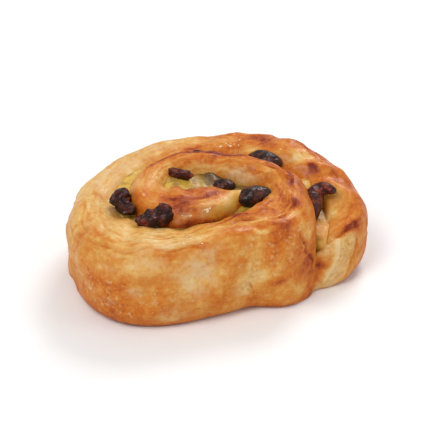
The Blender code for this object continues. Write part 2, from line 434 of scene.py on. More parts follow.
    def surface(self, turns: np.ndarray, shrink: np.ndarray, advance: np.ndarray) -> "StripSurface":
        """The strip's surface as a grid.

        Args:
            turns: The turn of each of the grid's rows.
            shrink: How far each row is rounded off towards an end, from 0 to 1.
            advance: How far each row is pushed on along the strip.

        Returns:
            The grid and where each of its points lies on the strip.
        """
        outer, inner = self.outer_edge(turns), self.inner_edge(turns)
        thickness = np.linalg.norm(inner - outer, axis=1)
        inward = (inner - outer) / thickness[:, None]
        ahead = np.stack((inward[:, 1], -inward[:, 0]), axis=1)
        across, up = self.section(turns, thickness)
        height = self.crest.at(turns)[:, None]
        buried = smooth(self.buried_from, self.buried_at, turns)[:, None]
        steps = np.hypot(np.diff(across, axis=1), np.diff(up, axis=1))
        girth = np.concatenate((np.zeros((len(turns), 1)), np.cumsum(steps, axis=1)), axis=1)
        along = np.broadcast_to(outer[:, 1:], across.shape)
        place = np.stack((outer[:, :1] + across, along, up), axis=2)
        full = np.minimum(1.0, height / self.full_relief_height)
        swell = self.swell(place) * smooth(*self.relief_rise, up) * full
        wall = 1.0 - smooth(0.0, self.wall_relief_depth, across)
        across = across - swell * wall * (1.0 - buried)
        up = up + swell * (1.0 - wall) * smooth(*self.top_relief_share, up / height)
        across = mix(across, 0.5 * thickness[:, None], shrink[:, None])
        up = up * (1.0 - self.end_droop * shrink[:, None])
        plan = outer[:, None] + inward[:, None] * across[..., None]
        plan = plan + (ahead * advance[:, None])[:, None]
        points = np.concatenate((plan, up[..., None]), axis=2)
        arm = np.linalg.norm(plan - np.asarray(self.centre), axis=2)
        turns = np.broadcast_to(turns[:, None], up.shape)
        return StripSurface(points, turns, girth, np.maximum(arm, self.least_arm))


@dataclass(frozen=True)
class Patch:
    """A place where the crust differs from the strip around it.

    Attributes:
        turn: Its turn in degrees.
        girth: Its girth.
        along: Its radius along the strip.
        around: Its radius across the strip.
        amount: What it adds.
    """

    turn: float
    girth: float
    along: float
    around: float
    amount: float


@dataclass
class StripSurface:
    """A grid over the strip: its points, where each lies on the strip, and its reach from the centre.

    The outlines of patches wander as ragged says, and patches fade out the faster the higher falloff is.
    """

    points: np.ndarray
    turns: np.ndarray
    girth: np.ndarray
    arm: np.ndarray
    ragged: Lumps = Lumps(1.3, 4.5, 3)
    ragged_seeds: tuple[int, int] = (31, 32)
    falloff: float = 1.2
    warp: np.ndarray = field(init=False)

    def __post_init__(self) -> None:
        """Works out how far the outlines of patches wander."""
        noises = (LatticeNoise(seed) for seed in self.ragged_seeds)
        self.warp = np.stack([self.ragged.at(noise, self.points) for noise in noises], axis=2)

    def normals(self) -> np.ndarray:
        """The outward direction at each point.

        Returns:
            Unit vectors in the grid's shape.
        """
        along = np.gradient(self.points, axis=0)
        around = np.roll(self.points, -1, axis=1) - np.roll(self.points, 1, axis=1)
        out = np.cross(along, around)
        return out / np.maximum(np.linalg.norm(out, axis=2, keepdims=True), 1e-9)

    def length(self) -> np.ndarray:
        """The way along the strip's middle line.

        Returns:
            The length up to each point in millimetres, in the grid's shape.
        """
        arm = self.arm.mean(axis=1)
        steps = np.radians(np.diff(self.turns[:, 0])) * 0.5 * (arm[1:] + arm[:-1])
        along = np.concatenate(([0.0], np.cumsum(steps)))
        return np.broadcast_to(along[:, None], self.turns.shape)

    def nearness(self, patch: Patch) -> np.ndarray:
        """How near the points are to a patch's middle, with a ragged outline.

        Args:
            patch: The patch.

        Returns:
            1 in the middle, falling smoothly to 0.
        """
        off_along = (np.radians(self.turns - patch.turn) * self.arm + self.warp[..., 0]) / patch.along
        off_around = (self.girth - patch.girth + self.warp[..., 1]) / patch.around
        return np.exp(-self.falloff * (off_along**2 + off_around**2))

    def total(self, patches: tuple[Patch, ...]) -> np.ndarray:
        """What a set of patches adds up to at each point."""
        return sum(patch.amount * self.nearness(patch) for patch in patches)


@dataclass(frozen=True)
class Split:
    """A long narrow split or fold in the crust, between two places given by turn and girth.

    Attributes:
        start: Where it starts.
        end: Where it ends.
        width: How far it reaches to either side.
        depth: How deep it is; a ridge has a depth below 0.
        browning_and_shade: How much darker it is than the crust beside it: partly the crust's deeper bake and
            partly painted shade in the crease.
        waves: The size, rate and phase of the waves in its line.
        fading: The share of its length in which it fades out at each end.
    """

    start: tuple[float, float]
    end: tuple[float, float]
    width: float
    depth: float
    browning_and_shade: float
    waves: tuple[tuple[float, float, float], ...] = ((0.8, 0.11, 0.0), (0.4, 0.37, 1.0))
    fading: float = 0.12

    def nearness(self, surface: StripSurface) -> np.ndarray:
        """How near the points are to the split.

        Args:
            surface: The grid.

        Returns:
            1 on the split, falling to 0 over its width, and fading out at its ends.
        """
        share = (surface.turns - self.start[0]) / (self.end[0] - self.start[0])
        girth = mix(self.start[1], self.end[1], np.clip(share, 0.0, 1.0))
        wander = sum(size * np.sin(rate * surface.turns + phase) for size, rate, phase in self.waves)
        fade = band((0.0, self.fading), (1.0 - self.fading, 1.0), share)
        return np.exp(-(((surface.girth - girth - wander) / self.width) ** 2)) * fade


def object_of(name: str, shown: bpy.types.ID) -> bpy.types.Object:
    """An object at the origin that shows a finished mesh, light or camera.

    Args:
        name: The object's name.
        shown: What it shows.

    Returns:
        The object, linked to the scene.
    """
    made = bpy.data.objects.new(name, shown)
    bpy.context.scene.collection.objects.link(made)
    return made


def make_object(name: str, points: np.ndarray, faces: list) -> bpy.types.Object:
    """A mesh object at the origin.

    Args:
        name: The object's name.
        points: Its points in millimetres.
        faces: Its faces as lists of point numbers.

    Returns:
        The object, linked to the scene.
    """
    mesh = bpy.data.meshes.new(name)
    mesh.from_pydata((points * MM).tolist(), [], [list(face) for face in faces])
    mesh.validate()
    mesh.shade_smooth()
    return object_of(name, mesh)


def closed_loft(name: str, grid: np.ndarray) -> bpy.types.Object:
    """A closed solid through rings of points, capped with a fan at each end.

    Args:
        name: The object's name.
        grid: Points by ring and place on the ring.

    Returns:
        The object. Its points are in the grid's order, then the two caps' hubs.
    """
    rings, count = grid.shape[:2]
    index = np.arange(rings * count).reshape(rings, count)
    near, far = index[:-1], index[1:]
    corners = (near, far, np.roll(far, -1, axis=1), np.roll(near, -1, axis=1))
    quads = np.stack(corners, axis=2).reshape(-1, 4)
    hubs = np.stack((grid[0].mean(axis=0), grid[-1].mean(axis=0)))
    first, last = rings * count, rings * count + 1
    fans = []
    for k in range(count):
        following = (k + 1) % count
        fans.append([first, index[0, k], index[0, following]])
        fans.append([last, index[-1, following], index[-1, k]])
    points = np.concatenate((grid.reshape(-1, 3), hubs))
    return make_object(name, points, quads.tolist() + fans)


def add_attribute(target: bpy.types.Object, name: str, values: np.ndarray) -> None:
    """Stores a number at each point of an object's mesh.

    Args:
        target: The object.
        name: The attribute's name.
        values: One number to a point; missing ones at the end are 0.
    """
    attribute = target.data.attributes.new(name, "FLOAT", "POINT")
    padded = np.zeros(len(target.data.vertices), dtype=np.float32)
    padded[: values.size] = values.ravel()
    attribute.data.foreach_set("value", padded)


class NodeBuilder:
    """A node tree under construction."""

    def __init__(self, tree: bpy.types.NodeTree) -> None:
        """Takes the tree that the nodes go to."""
        self.tree = tree

    def node(self, kind: str, inputs: dict | None = None, **settings: object) -> bpy.types.Node:
        """Adds a node.

        Args:
            kind: The node's type.
            inputs: Values or sockets by input name or index.
            **settings: The node's own settings.

        Returns:
            The node.
        """
        made = self.tree.nodes.new(kind)
        for name, value in settings.items():
            setattr(made, name, value)
        for key, value in (inputs or {}).items():
            self.feed(made.inputs[key], value)
        return made

    def feed(self, socket: Socket, value: object) -> None:
        """Gives an input its value, or links a socket to it.

        Args:
            socket: The input.
            value: A socket or a plain value, which for a colour is three numbers.
        """
        if isinstance(value, Socket):
            self.tree.links.new(value, socket)
        else:
            socket.default_value = (*value, 1.0) if socket.type == "RGBA" else value

    def math(self, operation: str, first: object, second: object = 0.0, clamp: bool = False) -> Socket:
        """A sum, product or other result of two numbers."""
        made = self.node("ShaderNodeMath", {0: first, 1: second}, operation=operation, use_clamp=clamp)
        return made.outputs[0]

    def product(self, first: object, second: object) -> Socket:
        """The product of two numbers."""
        return self.math("MULTIPLY", first, second)


class Shader(NodeBuilder):
    """A material's nodes under construction."""

    def __init__(self, name: str) -> None:
        """Starts a material with its Principled shader.

        Args:
            name: The material's name.
        """
        self.material = bpy.data.materials.new(name)
        self.material.use_nodes = True
        super().__init__(self.material.node_tree)
        self.surface = self.tree.nodes["Principled BSDF"]

    def set(self, **inputs: object) -> None:
        """Feeds the Principled shader's inputs, with underscores for spaces in their names."""
        for name, value in inputs.items():
            self.feed(self.surface.inputs[name.replace("_", " ")], value)

    def attribute(self, name: str) -> Socket:
        """A number stored on the mesh."""
        return self.node("ShaderNodeAttribute", attribute_name=name).outputs["Fac"]

    def place(self) -> Socket:
        """The place on the object, in metres."""
        return self.node("ShaderNodeTexCoord").outputs["Object"]

    def noise(self, size: float, detail: float = 4.0, roughness: float = 0.55, **inputs: object) -> Socket:
        """Noise on the place on the object.

        Args:
            size: The size of its lumps in millimetres.
            detail: How many ever finer layers it has.
            roughness: How strong the finer layers are.
            **inputs: Other inputs, with underscores for spaces in their names.

        Returns:
            A value from 0 to 1.
        """
        wanted = {
            "Vector": self.place(),
            "Scale": 1.0 / (size * MM),
            "Detail": detail,
            "Roughness": roughness,
        }
        wanted.update({name.replace("_", " "): value for name, value in inputs.items()})
        return self.node("ShaderNodeTexNoise", wanted).outputs["Fac"]

    def spread(
        self, value: object, low: float, high: float, to_low: float = 0.0, to_high: float = 1.0
    ) -> Socket:
        """Maps a number's range smoothly to another, held at its ends."""
        wanted = {"Value": value, "From Min": low, "From Max": high, "To Min": to_low, "To Max": to_high}
        return self.node("ShaderNodeMapRange", wanted, interpolation_type="SMOOTHSTEP").outputs["Result"]

    def blend(self, share: object, first: object, second: object) -> Socket:
        """A mixture of two colours, which is the first at share 0 and the second at share 1."""
        inputs = {"Factor": share, "A": first, "B": second}
        return self.node("ShaderNodeMix", inputs, data_type="RGBA", blend_type="MIX").outputs["Result"]

    def ramp(self, value: object, stops: tuple[tuple[float, Colour], ...]) -> Socket:
        """A colour read from a scale of colours.

        Args:
            value: Where on the scale, from 0 to 1.
            stops: The scale's places and colours.

        Returns:
            The colour's socket.
        """
        made = self.node("ShaderNodeValToRGB", {"Fac": value})
        elements = made.color_ramp.elements
        for place, _ in stops[1:-1]:
            elements.new(place)
        for element, (place, colour) in zip(elements, stops):
            element.position = place
            element.color = (*colour, 1.0)
        return made.outputs["Color"]

    def bump(
        self, height: object, distance: float, strength: float = 1.0, normal: Socket | None = None
    ) -> Socket:
        """A bumped normal.

        Args:
            height: The relief, from 0 to 1.
            distance: How high 1 is, in millimetres.
            strength: How much of the relief shows.
            normal: The normal that is bumped, the plain one by default.

        Returns:
            The bumped normal.
        """
        wanted = {"Height": height, "Distance": distance * MM, "Strength": strength}
        if normal is not None:
            wanted["Normal"] = normal
        return self.node("ShaderNodeBump", wanted).outputs["Normal"]


def srgb(*channels: int) -> Colour:
    """A screen colour, whose channels go from 0 to 255, as the shader's linear numbers."""
    shares = (channel / 255 for channel in channels)
    return tuple(c / 12.92 if c <= 0.04045 else ((c + 0.055) / 1.055) ** 2.4 for c in shares)


@dataclass(frozen=True)
class DoughFinish:
    """Baked, glazed laminated dough, coloured by how far each place is baked.

    Its roughness is given bare and glazed, and what the torn crumb adds to it. The coat is the glaze's.
    """

    pale: Colour = srgb(226, 194, 138)
    straw: Colour = srgb(220, 170, 94)
    golden: Colour = srgb(208, 138, 58)
    orange: Colour = srgb(200, 110, 28)
    brown: Colour = srgb(170, 78, 24)
    burnt: Colour = srgb(122, 42, 16)
    crumb: Colour = srgb(228, 188, 124)
    pit: Colour = srgb(204, 150, 84)
    soaked: Colour = srgb(206, 162, 56)
    dust: Colour = srgb(218, 182, 136)
    fleck: Colour = srgb(224, 180, 120)
    fleck_share: float = 0.55
    crumb_share: float = 0.8
    line_browning: float = 0.07
    roughness: tuple[float, float] = (0.6, 0.34)
    crumb_roughness: float = 0.25
    coat: float = 0.22

    def build(self) -> bpy.types.Material:
        """Makes the material.

        Returns:
            The material, which reads the attributes that DoughStrip.build stores.
        """
        shader = Shader("baked_dough")
        names = ("bake", "crumb", "glaze", "layer", "laminated")
        bake, crumb, glaze, layer, laminated = map(shader.attribute, names)
        grain = self.grain(shader, shader.attribute("length"), shader.attribute("girth"))
        flecks = self.flecks(shader, shader.attribute("flaky"))
        wave = shader.math("SINE", shader.product(layer, math.tau))
        lines = shader.product(wave, laminated)
        holes = shader.spread(shader.noise(2.0, 4.0, 0.6), 0.34, 0.6)
        colour = self.crust(shader, bake, (grain, laminated, lines))
        ragged = shader.spread(shader.noise(5.0, 8.0, 0.7), 0.32, 0.68, -0.9, 0.9)
        # One of the dusty patches whitens the inner end's front as a painted highlight.
        stains = (("soaked", 1.2, 0.75, self.soaked), ("dusty", 1.4, 0.85, self.dust))
        for name, full, most, stain in stains:
            amount = shader.attribute(name)
            torn = shader.math("ADD", amount, shader.product(ragged, amount))
            colour = shader.blend(shader.spread(torn, 0.05, full, 0.0, most), colour, stain)
        colour = shader.blend(shader.product(flecks, self.fleck_share), colour, self.fleck)
        open_crumb = shader.blend(holes, self.pit, self.crumb)
        colour = shader.blend(shader.product(crumb, self.crumb_share), colour, open_crumb)
        dull = shader.spread(shader.noise(3.0, 3.0), 0.35, 0.65, -0.05, 0.1)
        rough = shader.math("ADD", shader.spread(glaze, 0.0, 1.0, *self.roughness), dull)
        rough = shader.math("ADD", rough, shader.product(crumb, self.crumb_roughness), clamp=True)
        combing = shader.product(grain, shader.spread(laminated, 0.0, 0.8, 0.12, 1.0))
        normal = None
        for height, distance, strength in (
            (shader.noise(0.9, 6.0, 0.7), 0.16, 0.8),
            (combing, 0.1, 0.7),
            (lines, 0.06, 0.6),
            (flecks, 0.12, 0.8),
            (shader.product(holes, crumb), 0.3, 0.7),
        ):
            normal = shader.bump(height, distance, strength, normal)
        shader.set(
            Base_Color=colour,
            Roughness=rough,
            Normal=normal,
            Specular_IOR_Level=0.17,
            Subsurface_Weight=0.05,
            Subsurface_Radius=(1.0, 0.5, 0.2),
            Subsurface_Scale=0.0012,
            Coat_Weight=shader.product(glaze, self.coat),
            Coat_Roughness=0.16,
        )
        return shader.material

    def crust(self, shader: Shader, bake: Socket, layering: tuple[Socket, Socket, Socket]) -> Socket:
        """The crust's colour, from pale to burnt.

        Args:
            shader: The material's nodes.
            bake: How far each place is baked.
            layering: The wrinkles along the strip, how clearly its layers show, and their lines.

        Returns:
            The colour.
        """
        grain, laminated, lines = layering
        baked = bake
        for part in (
            shader.spread(shader.noise(6.0, 5.0, 0.6), 0.3, 0.7, -0.09, 0.09),
            shader.spread(shader.noise(1.4, 5.0, 0.65), 0.3, 0.7, -0.09, 0.09),
            shader.spread(shader.noise(0.55, 3.0, 0.6), 0.6, 0.74, 0.0, 0.12),
            shader.product(grain, shader.spread(laminated, 0.0, 0.8, 0.02, 0.15)),
            shader.product(lines, self.line_browning),
        ):
            baked = shader.math("ADD", baked, part)
        places = (0.0, 0.22, 0.44, 0.64, 0.84, 1.0)
        tones = (self.pale, self.straw, self.golden, self.orange, self.brown, self.burnt)
        return shader.ramp(baked, tuple(zip(places, tones)))

    @staticmethod
    def grain(shader: Shader, length: object, girth: object) -> Socket:
        """Fine wrinkles drawn out along the strip.

        Args:
            shader: The material's nodes.
            length: The way along the strip.
            girth: The way across it.

        Returns:
            A pattern of about -1 to 1.
        """
        drawn_out = {"X": shader.product(length, 0.22), "Y": shader.product(girth, 1.5)}
        drawn = shader.node("ShaderNodeCombineXYZ", drawn_out).outputs["Vector"]
        pattern = shader.noise(1.0, 4.0, 0.6, Vector=drawn, Scale=1.0, Distortion=0.4)
        return shader.spread(pattern, 0.3, 0.7, -1.0, 1.0)

    @staticmethod
    def flecks(shader: Shader, flaky: object) -> Socket:
        """Small loose flakes of dry crust.

        Args:
            shader: The material's nodes.
            flaky: How thick they lie.

        Returns:
            1 on a flake and 0 between them.
        """
        shape = shader.math("MAXIMUM", shader.noise(1.8, 3.0, 0.55), shader.noise(3.8, 6.0, 0.7))
        limit = shader.spread(flaky, 0.0, 1.0, 0.74, 0.55)
        return shader.spread(shader.math("SUBTRACT", shape, limit), 0.0, 0.13)


@dataclass(frozen=True)
class CrumbFinish:
    """Dry crumbs of crust, from straw to golden."""

    straw: Colour = srgb(218, 164, 90)
    golden: Colour = srgb(196, 116, 40)

    def build(self) -> bpy.types.Material:
        """Makes the material.

        Returns:
            The material.
        """
        shader = Shader("crust_crumbs")
        tint = shader.spread(shader.noise(5.0, 3.0), 0.4, 0.6)
        shader.set(
            Base_Color=shader.blend(tint, self.straw, self.golden),
            Roughness=0.5,
            Normal=shader.bump(shader.noise(0.7), 0.05, 0.6),
        )
        return shader.material


@dataclass(frozen=True)
class CreamFinish:
    """Baked pastry cream, yellow with olive and straw stains."""

    yellow: Colour = srgb(216, 174, 66)
    olive: Colour = srgb(166, 126, 44)
    straw: Colour = srgb(214, 180, 104)
    toast_and_shade: Colour = srgb(94, 66, 30)
    golden: Colour = srgb(226, 162, 78)

    def build(self) -> bpy.types.Material:
        """Makes the material.

        Returns:
            The material.
        """
        shader = Shader("pastry_cream")
        stain = shader.spread(shader.noise(3.4, 4.0, 0.6), 0.42, 0.64)
        skin = shader.spread(shader.noise(1.4, 3.0, 0.6), 0.56, 0.8, 0.0, 0.7)
        colour = shader.blend(stain, self.yellow, self.olive)
        colour = shader.blend(skin, colour, self.straw)
        colour = shader.blend(shader.attribute("golden"), colour, self.golden)
        # The dark stains are partly toasted cream and partly painted shade in the hollow and between the
        # turns.
        colour = shader.blend(shader.attribute("toasted_and_shaded"), colour, self.toast_and_shade)
        lumps = shader.bump(shader.noise(1.3, 5.0, 0.6), 0.35, 0.8)
        shader.set(
            Base_Color=colour,
            Roughness=shader.spread(shader.noise(2.0), 0.3, 0.7, 0.3, 0.55),
            Normal=lumps,
            Specular_IOR_Level=0.35,
            Subsurface_Weight=0.12,
            Subsurface_Radius=(1.0, 0.7, 0.2),
            Subsurface_Scale=0.002,
            Coat_Weight=0.2,
            Coat_Roughness=0.18,
        )
        return shader.material


class RaisinTone(Enum):
    """The kinds of raisin in the photograph."""

    PLUMP = "plump"
    BURNT = "burnt"
    AMBER = "amber"


@dataclass(frozen=True)
class RaisinFinish:
    """A raisin's skin: dark, with a redder colour where light comes through its folds."""

    tone: RaisinTone

    def build(self) -> bpy.types.Material:
        """Makes the material.

        Returns:
            The material.
        """
        dark, warm, share = {
            RaisinTone.PLUMP: (srgb(30, 19, 17), srgb(94, 44, 28), 0.5),
            RaisinTone.BURNT: (srgb(40, 14, 10), srgb(108, 40, 24), 0.54),
            RaisinTone.AMBER: (srgb(62, 18, 11), srgb(146, 60, 32), 0.56),
        }[self.tone]
        shader = Shader(f"raisin_{self.tone.value}")
        warmth = shader.spread(shader.noise(2.6, 4.0, 0.6), share - 0.08, share + 0.16)
        creases = shader.noise(1.5, 5.0, 0.6, Distortion=0.8)
        shader.set(
            Base_Color=shader.blend(warmth, dark, warm),
            Roughness=shader.spread(shader.noise(1.2), 0.3, 0.7, 0.3, 0.55),
            Normal=shader.bump(creases, 0.14, 0.6),
            Specular_IOR_Level=0.2,
            Subsurface_Weight=0.05,
            Subsurface_Radius=(1.0, 0.3, 0.15),
            Subsurface_Scale=0.001,
            Coat_Weight=0.14,
            Coat_Roughness=0.09,
        )
        return shader.material


@dataclass(frozen=True)
class PaintedGlintFinish:
    """Near-white sugar glaze, set in drops and small pools, whose brightness is a painted highlight for the
    glaze's sparkles.
    """

    tint: Colour = srgb(246, 230, 196)
    shade: Colour = srgb(232, 194, 132)

    def build(self) -> bpy.types.Material:
        """Makes the material.

        Returns:
            The material.
        """
        shader = Shader("painted_glint_glaze")
        cloudy = shader.spread(shader.noise(1.6, 3.0), 0.35, 0.65)
        shader.set(
            Base_Color=shader.blend(cloudy, self.tint, self.shade),
            Roughness=0.12,
            Normal=shader.bump(shader.noise(0.8, 3.0), 0.08, 0.5),
            Coat_Weight=0.6,
            Coat_Roughness=0.05,
        )
        return shader.material


class GeometryTree(NodeBuilder):
    """A Geometry Nodes tree under construction."""

    def __init__(self, name: str, inputs: tuple[tuple[str, str], ...]) -> None:
        """Starts a tree with named inputs and one geometry output.

        Args:
            name: The tree's name.
            inputs: Each input's name and kind.
        """
        super().__init__(bpy.data.node_groups.new(name, "GeometryNodeTree"))
        made = self.tree.interface
        self.identifiers = {}
        for label, kind in inputs:
            socket = made.new_socket(name=label, in_out="INPUT", socket_type=f"NodeSocket{kind}")
            self.identifiers[label] = socket.identifier
        made.new_socket(name="Geometry", in_out="OUTPUT", socket_type="NodeSocketGeometry")
        self.given = self.tree.nodes.new("NodeGroupInput").outputs
        self.result = self.tree.nodes.new("NodeGroupOutput").inputs

    def scaled(self, vector: Socket, share: object) -> Socket:
        """A vector times a number."""
        made = self.node("ShaderNodeVectorMath", {0: vector, "Scale": share}, operation="SCALE")
        return made.outputs["Vector"]

    def smoothed(self, mesh: Socket) -> Socket:
        """A mesh with smooth shading."""
        return self.node("GeometryNodeSetShadeSmooth", {"Geometry": mesh}).outputs["Geometry"]

    def finish(self, geometry: Socket) -> None:
        """Realizes the geometry, gives it the Material input and puts it out.

        Args:
            geometry: The geometry to put out.
        """
        real = self.node("GeometryNodeRealizeInstances", {"Geometry": geometry}).outputs["Geometry"]
        inputs = {"Geometry": real, "Material": self.given["Material"]}
        dressed = self.node("GeometryNodeSetMaterial", inputs).outputs["Geometry"]
        self.tree.links.new(dressed, self.result["Geometry"])

    def apply(self, name: str, host: bpy.types.Mesh, values: dict[str, object]) -> bpy.types.Mesh:
        """Runs the tree on a mesh.

        Args:
            name: The new mesh's name.
            host: The mesh that goes in as Geometry.
            values: The other inputs by name.

        Returns:
            The plain mesh that comes out.
        """
        holder = object_of(f"{name}_host", host)
        modifier = holder.modifiers.new("nodes", "NODES")
        modifier.node_group = self.tree
        for label, value in values.items():
            modifier[self.identifiers[label]] = value
        graph = bpy.context.evaluated_depsgraph_get()
        made = bpy.data.meshes.new_from_object(holder.evaluated_get(graph))
        made.name = name
        holder.modifiers.remove(modifier)
        bpy.data.objects.remove(holder, do_unlink=True)
        return made


BAKE_PATCHES = (
    # The right-hand wrap, scorched where it turns down to the front.
    Patch(342.0, 41.0, 5.0, 2.4, 0.16),
    Patch(334.0, 38.0, 3.0, 2.4, 0.42),
    Patch(328.0, 35.0, 3.0, 2.0, -0.24),
    Patch(313.0, 36.0, 3.4, 2.0, 0.3),
    Patch(366.0, 40.0, 8.0, 1.8, 0.2),
    # The blister on the second turn's left, and its brown top line along the back.
    Patch(556.0, 34.5, 5.0, 4.0, 0.3),
    Patch(572.0, 37.0, 4.0, 3.0, -0.14),
    Patch(475.0, 38.5, 17.0, 1.8, 0.18),
    Patch(430.0, 40.0, 12.0, 1.8, 0.2),
    Patch(380.0, 47.5, 6.0, 2.4, 0.1),
    Patch(476.0, 38.5, 9.0, 1.4, 0.08),
    Patch(483.0, 43.5, 12.0, 1.8, 0.12),
    Patch(470.0, 47.5, 9.0, 2.2, -0.26),
    Patch(402.0, 44.0, 9.0, 2.0, 0.12),
    # The back and the right-hand slope, with caramel spots.
    Patch(66.0, 42.0, 7.0, 4.0, 0.22),
    Patch(99.0, 41.0, 5.0, 2.0, -0.06),
    Patch(66.0, 49.0, 4.0, 2.0, -0.4),
    Patch(106.0, 44.0, 4.0, 0.8, 0.5),
    Patch(98.0, 41.0, 7.0, 2.4, -0.24),
    Patch(26.0, 45.0, 2.6, 2.0, 0.62),
    # These two pale places on a glossy bump are partly its own pale crust and partly a painted highlight.
    Patch(36.0, 46.0, 3.6, 2.8, -0.52),
    Patch(34.0, 42.5, 3.4, 1.8, -0.34),
    Patch(44.0, 38.0, 5.0, 2.5, 0.14),
    Patch(52.0, 41.0, 3.0, 1.6, 0.2),
    Patch(17.0, 36.0, 8.0, 4.0, 0.06),
    Patch(14.0, 42.0, 3.0, 2.0, 0.26),
    Patch(-1.0, 38.0, 5.0, 3.0, -0.22),
    # The tail: pale torn face, brown line above it, a scorched spot and a red-brown outside.
    Patch(-7.0, 25.0, 2.4, 3.0, 0.5),
    Patch(-6.0, 18.0, 3.0, 6.0, -0.16),
    Patch(4.0, 16.0, 5.0, 12.0, 0.04),
    Patch(-25.0, 12.5, 2.6, 3.0, 0.44),
    Patch(-27.0, 8.0, 2.0, 3.0, 0.34),
    Patch(-14.5, 17.0, 4.0, 8.0, -0.44),
    Patch(-19.0, 7.0, 4.4, 5.0, -0.56),
    Patch(-23.0, 2.5, 4.0, 2.6, -0.4),
    Patch(4.0, 31.0, 6.0, 1.8, 0.16),
    # The wall beside the tail, mottled red-brown with pale torn places.
    Patch(306.0, 15.0, 3.4, 2.0, 0.3),
    Patch(318.0, 18.0, 5.0, 5.0, 0.1),
    Patch(326.0, 27.0, 4.0, 4.0, -0.2),
    Patch(304.0, 30.0, 8.0, 3.0, 0.14),
    Patch(295.0, 20.0, 6.0, 5.0, -0.16),
    Patch(285.0, 15.0, 3.0, 4.0, -0.3),
    Patch(319.0, 8.0, 3.4, 3.0, -0.3),
    Patch(301.0, 35.0, 2.6, 1.3, -0.36),
    Patch(284.0, 35.0, 9.0, 2.6, 0.12),
    Patch(330.0, 14.0, 3.0, 6.0, 0.16),
    # The front wall: a paler upright patch, and darker clouds beside it.
    Patch(207.0, 31.0, 7.0, 5.0, 0.16),
    Patch(202.0, 34.0, 6.0, 2.6, 0.14),
    Patch(217.0, 35.5, 9.0, 2.0, 0.12),
    Patch(214.0, 24.0, 6.0, 4.0, 0.1),
    Patch(236.0, 30.0, 12.0, 5.0, -0.08),
    Patch(250.0, 8.0, 8.0, 4.0, -0.2),
    Patch(274.0, 24.0, 3.4, 3.4, -0.14),
    Patch(241.0, 41.5, 22.0, 1.5, -0.14),
    Patch(226.0, 20.0, 7.0, 5.0, 0.1),
    Patch(294.0, 18.0, 4.0, 4.0, -0.14),
    Patch(258.0, 23.0, 4.5, 6.0, -0.26),
    Patch(269.0, 28.0, 5.0, 5.0, -0.12),
    Patch(248.0, 37.0, 9.0, 2.2, -0.16),
    Patch(232.0, 12.0, 12.0, 5.0, 0.06),
    Patch(274.0, 18.0, 4.0, 7.0, 0.1),
    # The rim over the front: pale, with an orange edge over the hump and the inner right raisin.
    Patch(284.0, 46.8, 12.0, 1.3, 0.34),
    Patch(308.0, 44.0, 6.0, 2.0, 0.18),
    Patch(303.0, 41.0, 10.0, 1.2, -0.2),
    Patch(310.0, 48.5, 9.0, 2.2, 0.14),
    Patch(321.0, 43.0, 0.8, 0.8, 0.4),
    # The inner end: pale places on its front, partly pale glaze and partly a painted highlight, and a brown
    # seam at its foot.
    Patch(621.0, 36.5, 4.0, 3.4, -0.5),
    Patch(604.0, 37.0, 6.0, 5.0, 0.18),
    Patch(616.0, 44.5, 14.0, 3.0, -0.08),
    Patch(600.0, 32.5, 9.0, 2.6, -0.16),
    Patch(611.0, 43.5, 6.0, 2.0, 0.2),
    Patch(612.0, 29.5, 14.0, 1.3, 0.2),
    Patch(612.0, 39.5, 3.4, 1.4, -0.3),
    Patch(628.0, 35.0, 2.0, 3.0, 0.22),
    Patch(648.0, 34.0, 4.0, 3.6, -0.4),
    Patch(579.0, 39.0, 4.0, 3.0, 0.12),
)

CRUMB_PATCHES = (
    Patch(-15.0, 15.0, 3.8, 8.0, 1.0),
    Patch(-10.0, 20.0, 3.4, 4.0, 0.8),
    Patch(-20.0, 6.0, 3.6, 4.0, 0.8),
    Patch(294.0, 19.0, 4.0, 4.4, 0.8),
    Patch(287.0, 14.0, 3.0, 4.0, 0.9),
)

SOAKED_PATCHES = (
    # Cream has soaked the dough beside the groove on the left, and at the hump's right-hand end.
    Patch(152.0, 44.5, 10.0, 4.4, 1.1),
    Patch(129.0, 40.0, 9.0, 2.0, 0.5),
    Patch(650.0, 33.0, 6.0, 4.0, 0.8),
    Patch(626.0, 33.0, 5.0, 2.6, 0.7),
    Patch(264.0, 44.0, 13.0, 4.0, 0.45),
    Patch(222.0, 48.0, 10.0, 3.0, 0.4),
    Patch(520.0, 46.0, 8.0, 3.0, 0.5),
)

DUSTY_PATCHES = (
    # Dull pale clouds on the front wall, and floury places round the inner hollow and on the tail.
    Patch(260.0, 22.5, 6.0, 7.5, 0.9),
    Patch(242.0, 29.0, 10.0, 6.5, 0.42),
    Patch(268.0, 30.0, 6.0, 6.0, 0.5),
    Patch(247.0, 36.5, 9.0, 2.4, 0.7),
    Patch(211.0, 23.0, 3.0, 8.0, 0.6),
    Patch(249.0, 9.0, 5.0, 4.6, 0.6),
    Patch(226.0, 14.0, 4.0, 2.4, 0.6),
    Patch(218.0, 17.0, 3.5, 2.6, 0.6),
    Patch(237.0, 19.0, 3.0, 2.6, 0.55),
    Patch(227.0, 27.0, 4.0, 2.4, 0.6),
    Patch(286.0, 14.0, 3.4, 4.0, 0.7),
    Patch(601.0, 32.5, 5.0, 2.4, 0.8),
    # This one whitens the inner end's front as a painted highlight on its glaze.
    Patch(621.0, 36.0, 4.0, 4.0, 0.6),
    Patch(648.0, 35.0, 3.0, 3.0, 0.6),
    Patch(128.0, 37.0, 16.0, 6.0, 0.7),
    Patch(160.0, 38.0, 14.0, 7.0, 0.8),
    Patch(408.0, 48.5, 7.0, 3.0, 0.9),
    Patch(-17.0, 14.0, 3.4, 6.0, 0.6),
    Patch(-19.0, 7.0, 4.0, 4.0, 0.7),
    Patch(-23.0, 2.5, 3.6, 2.8, 1.0),
)

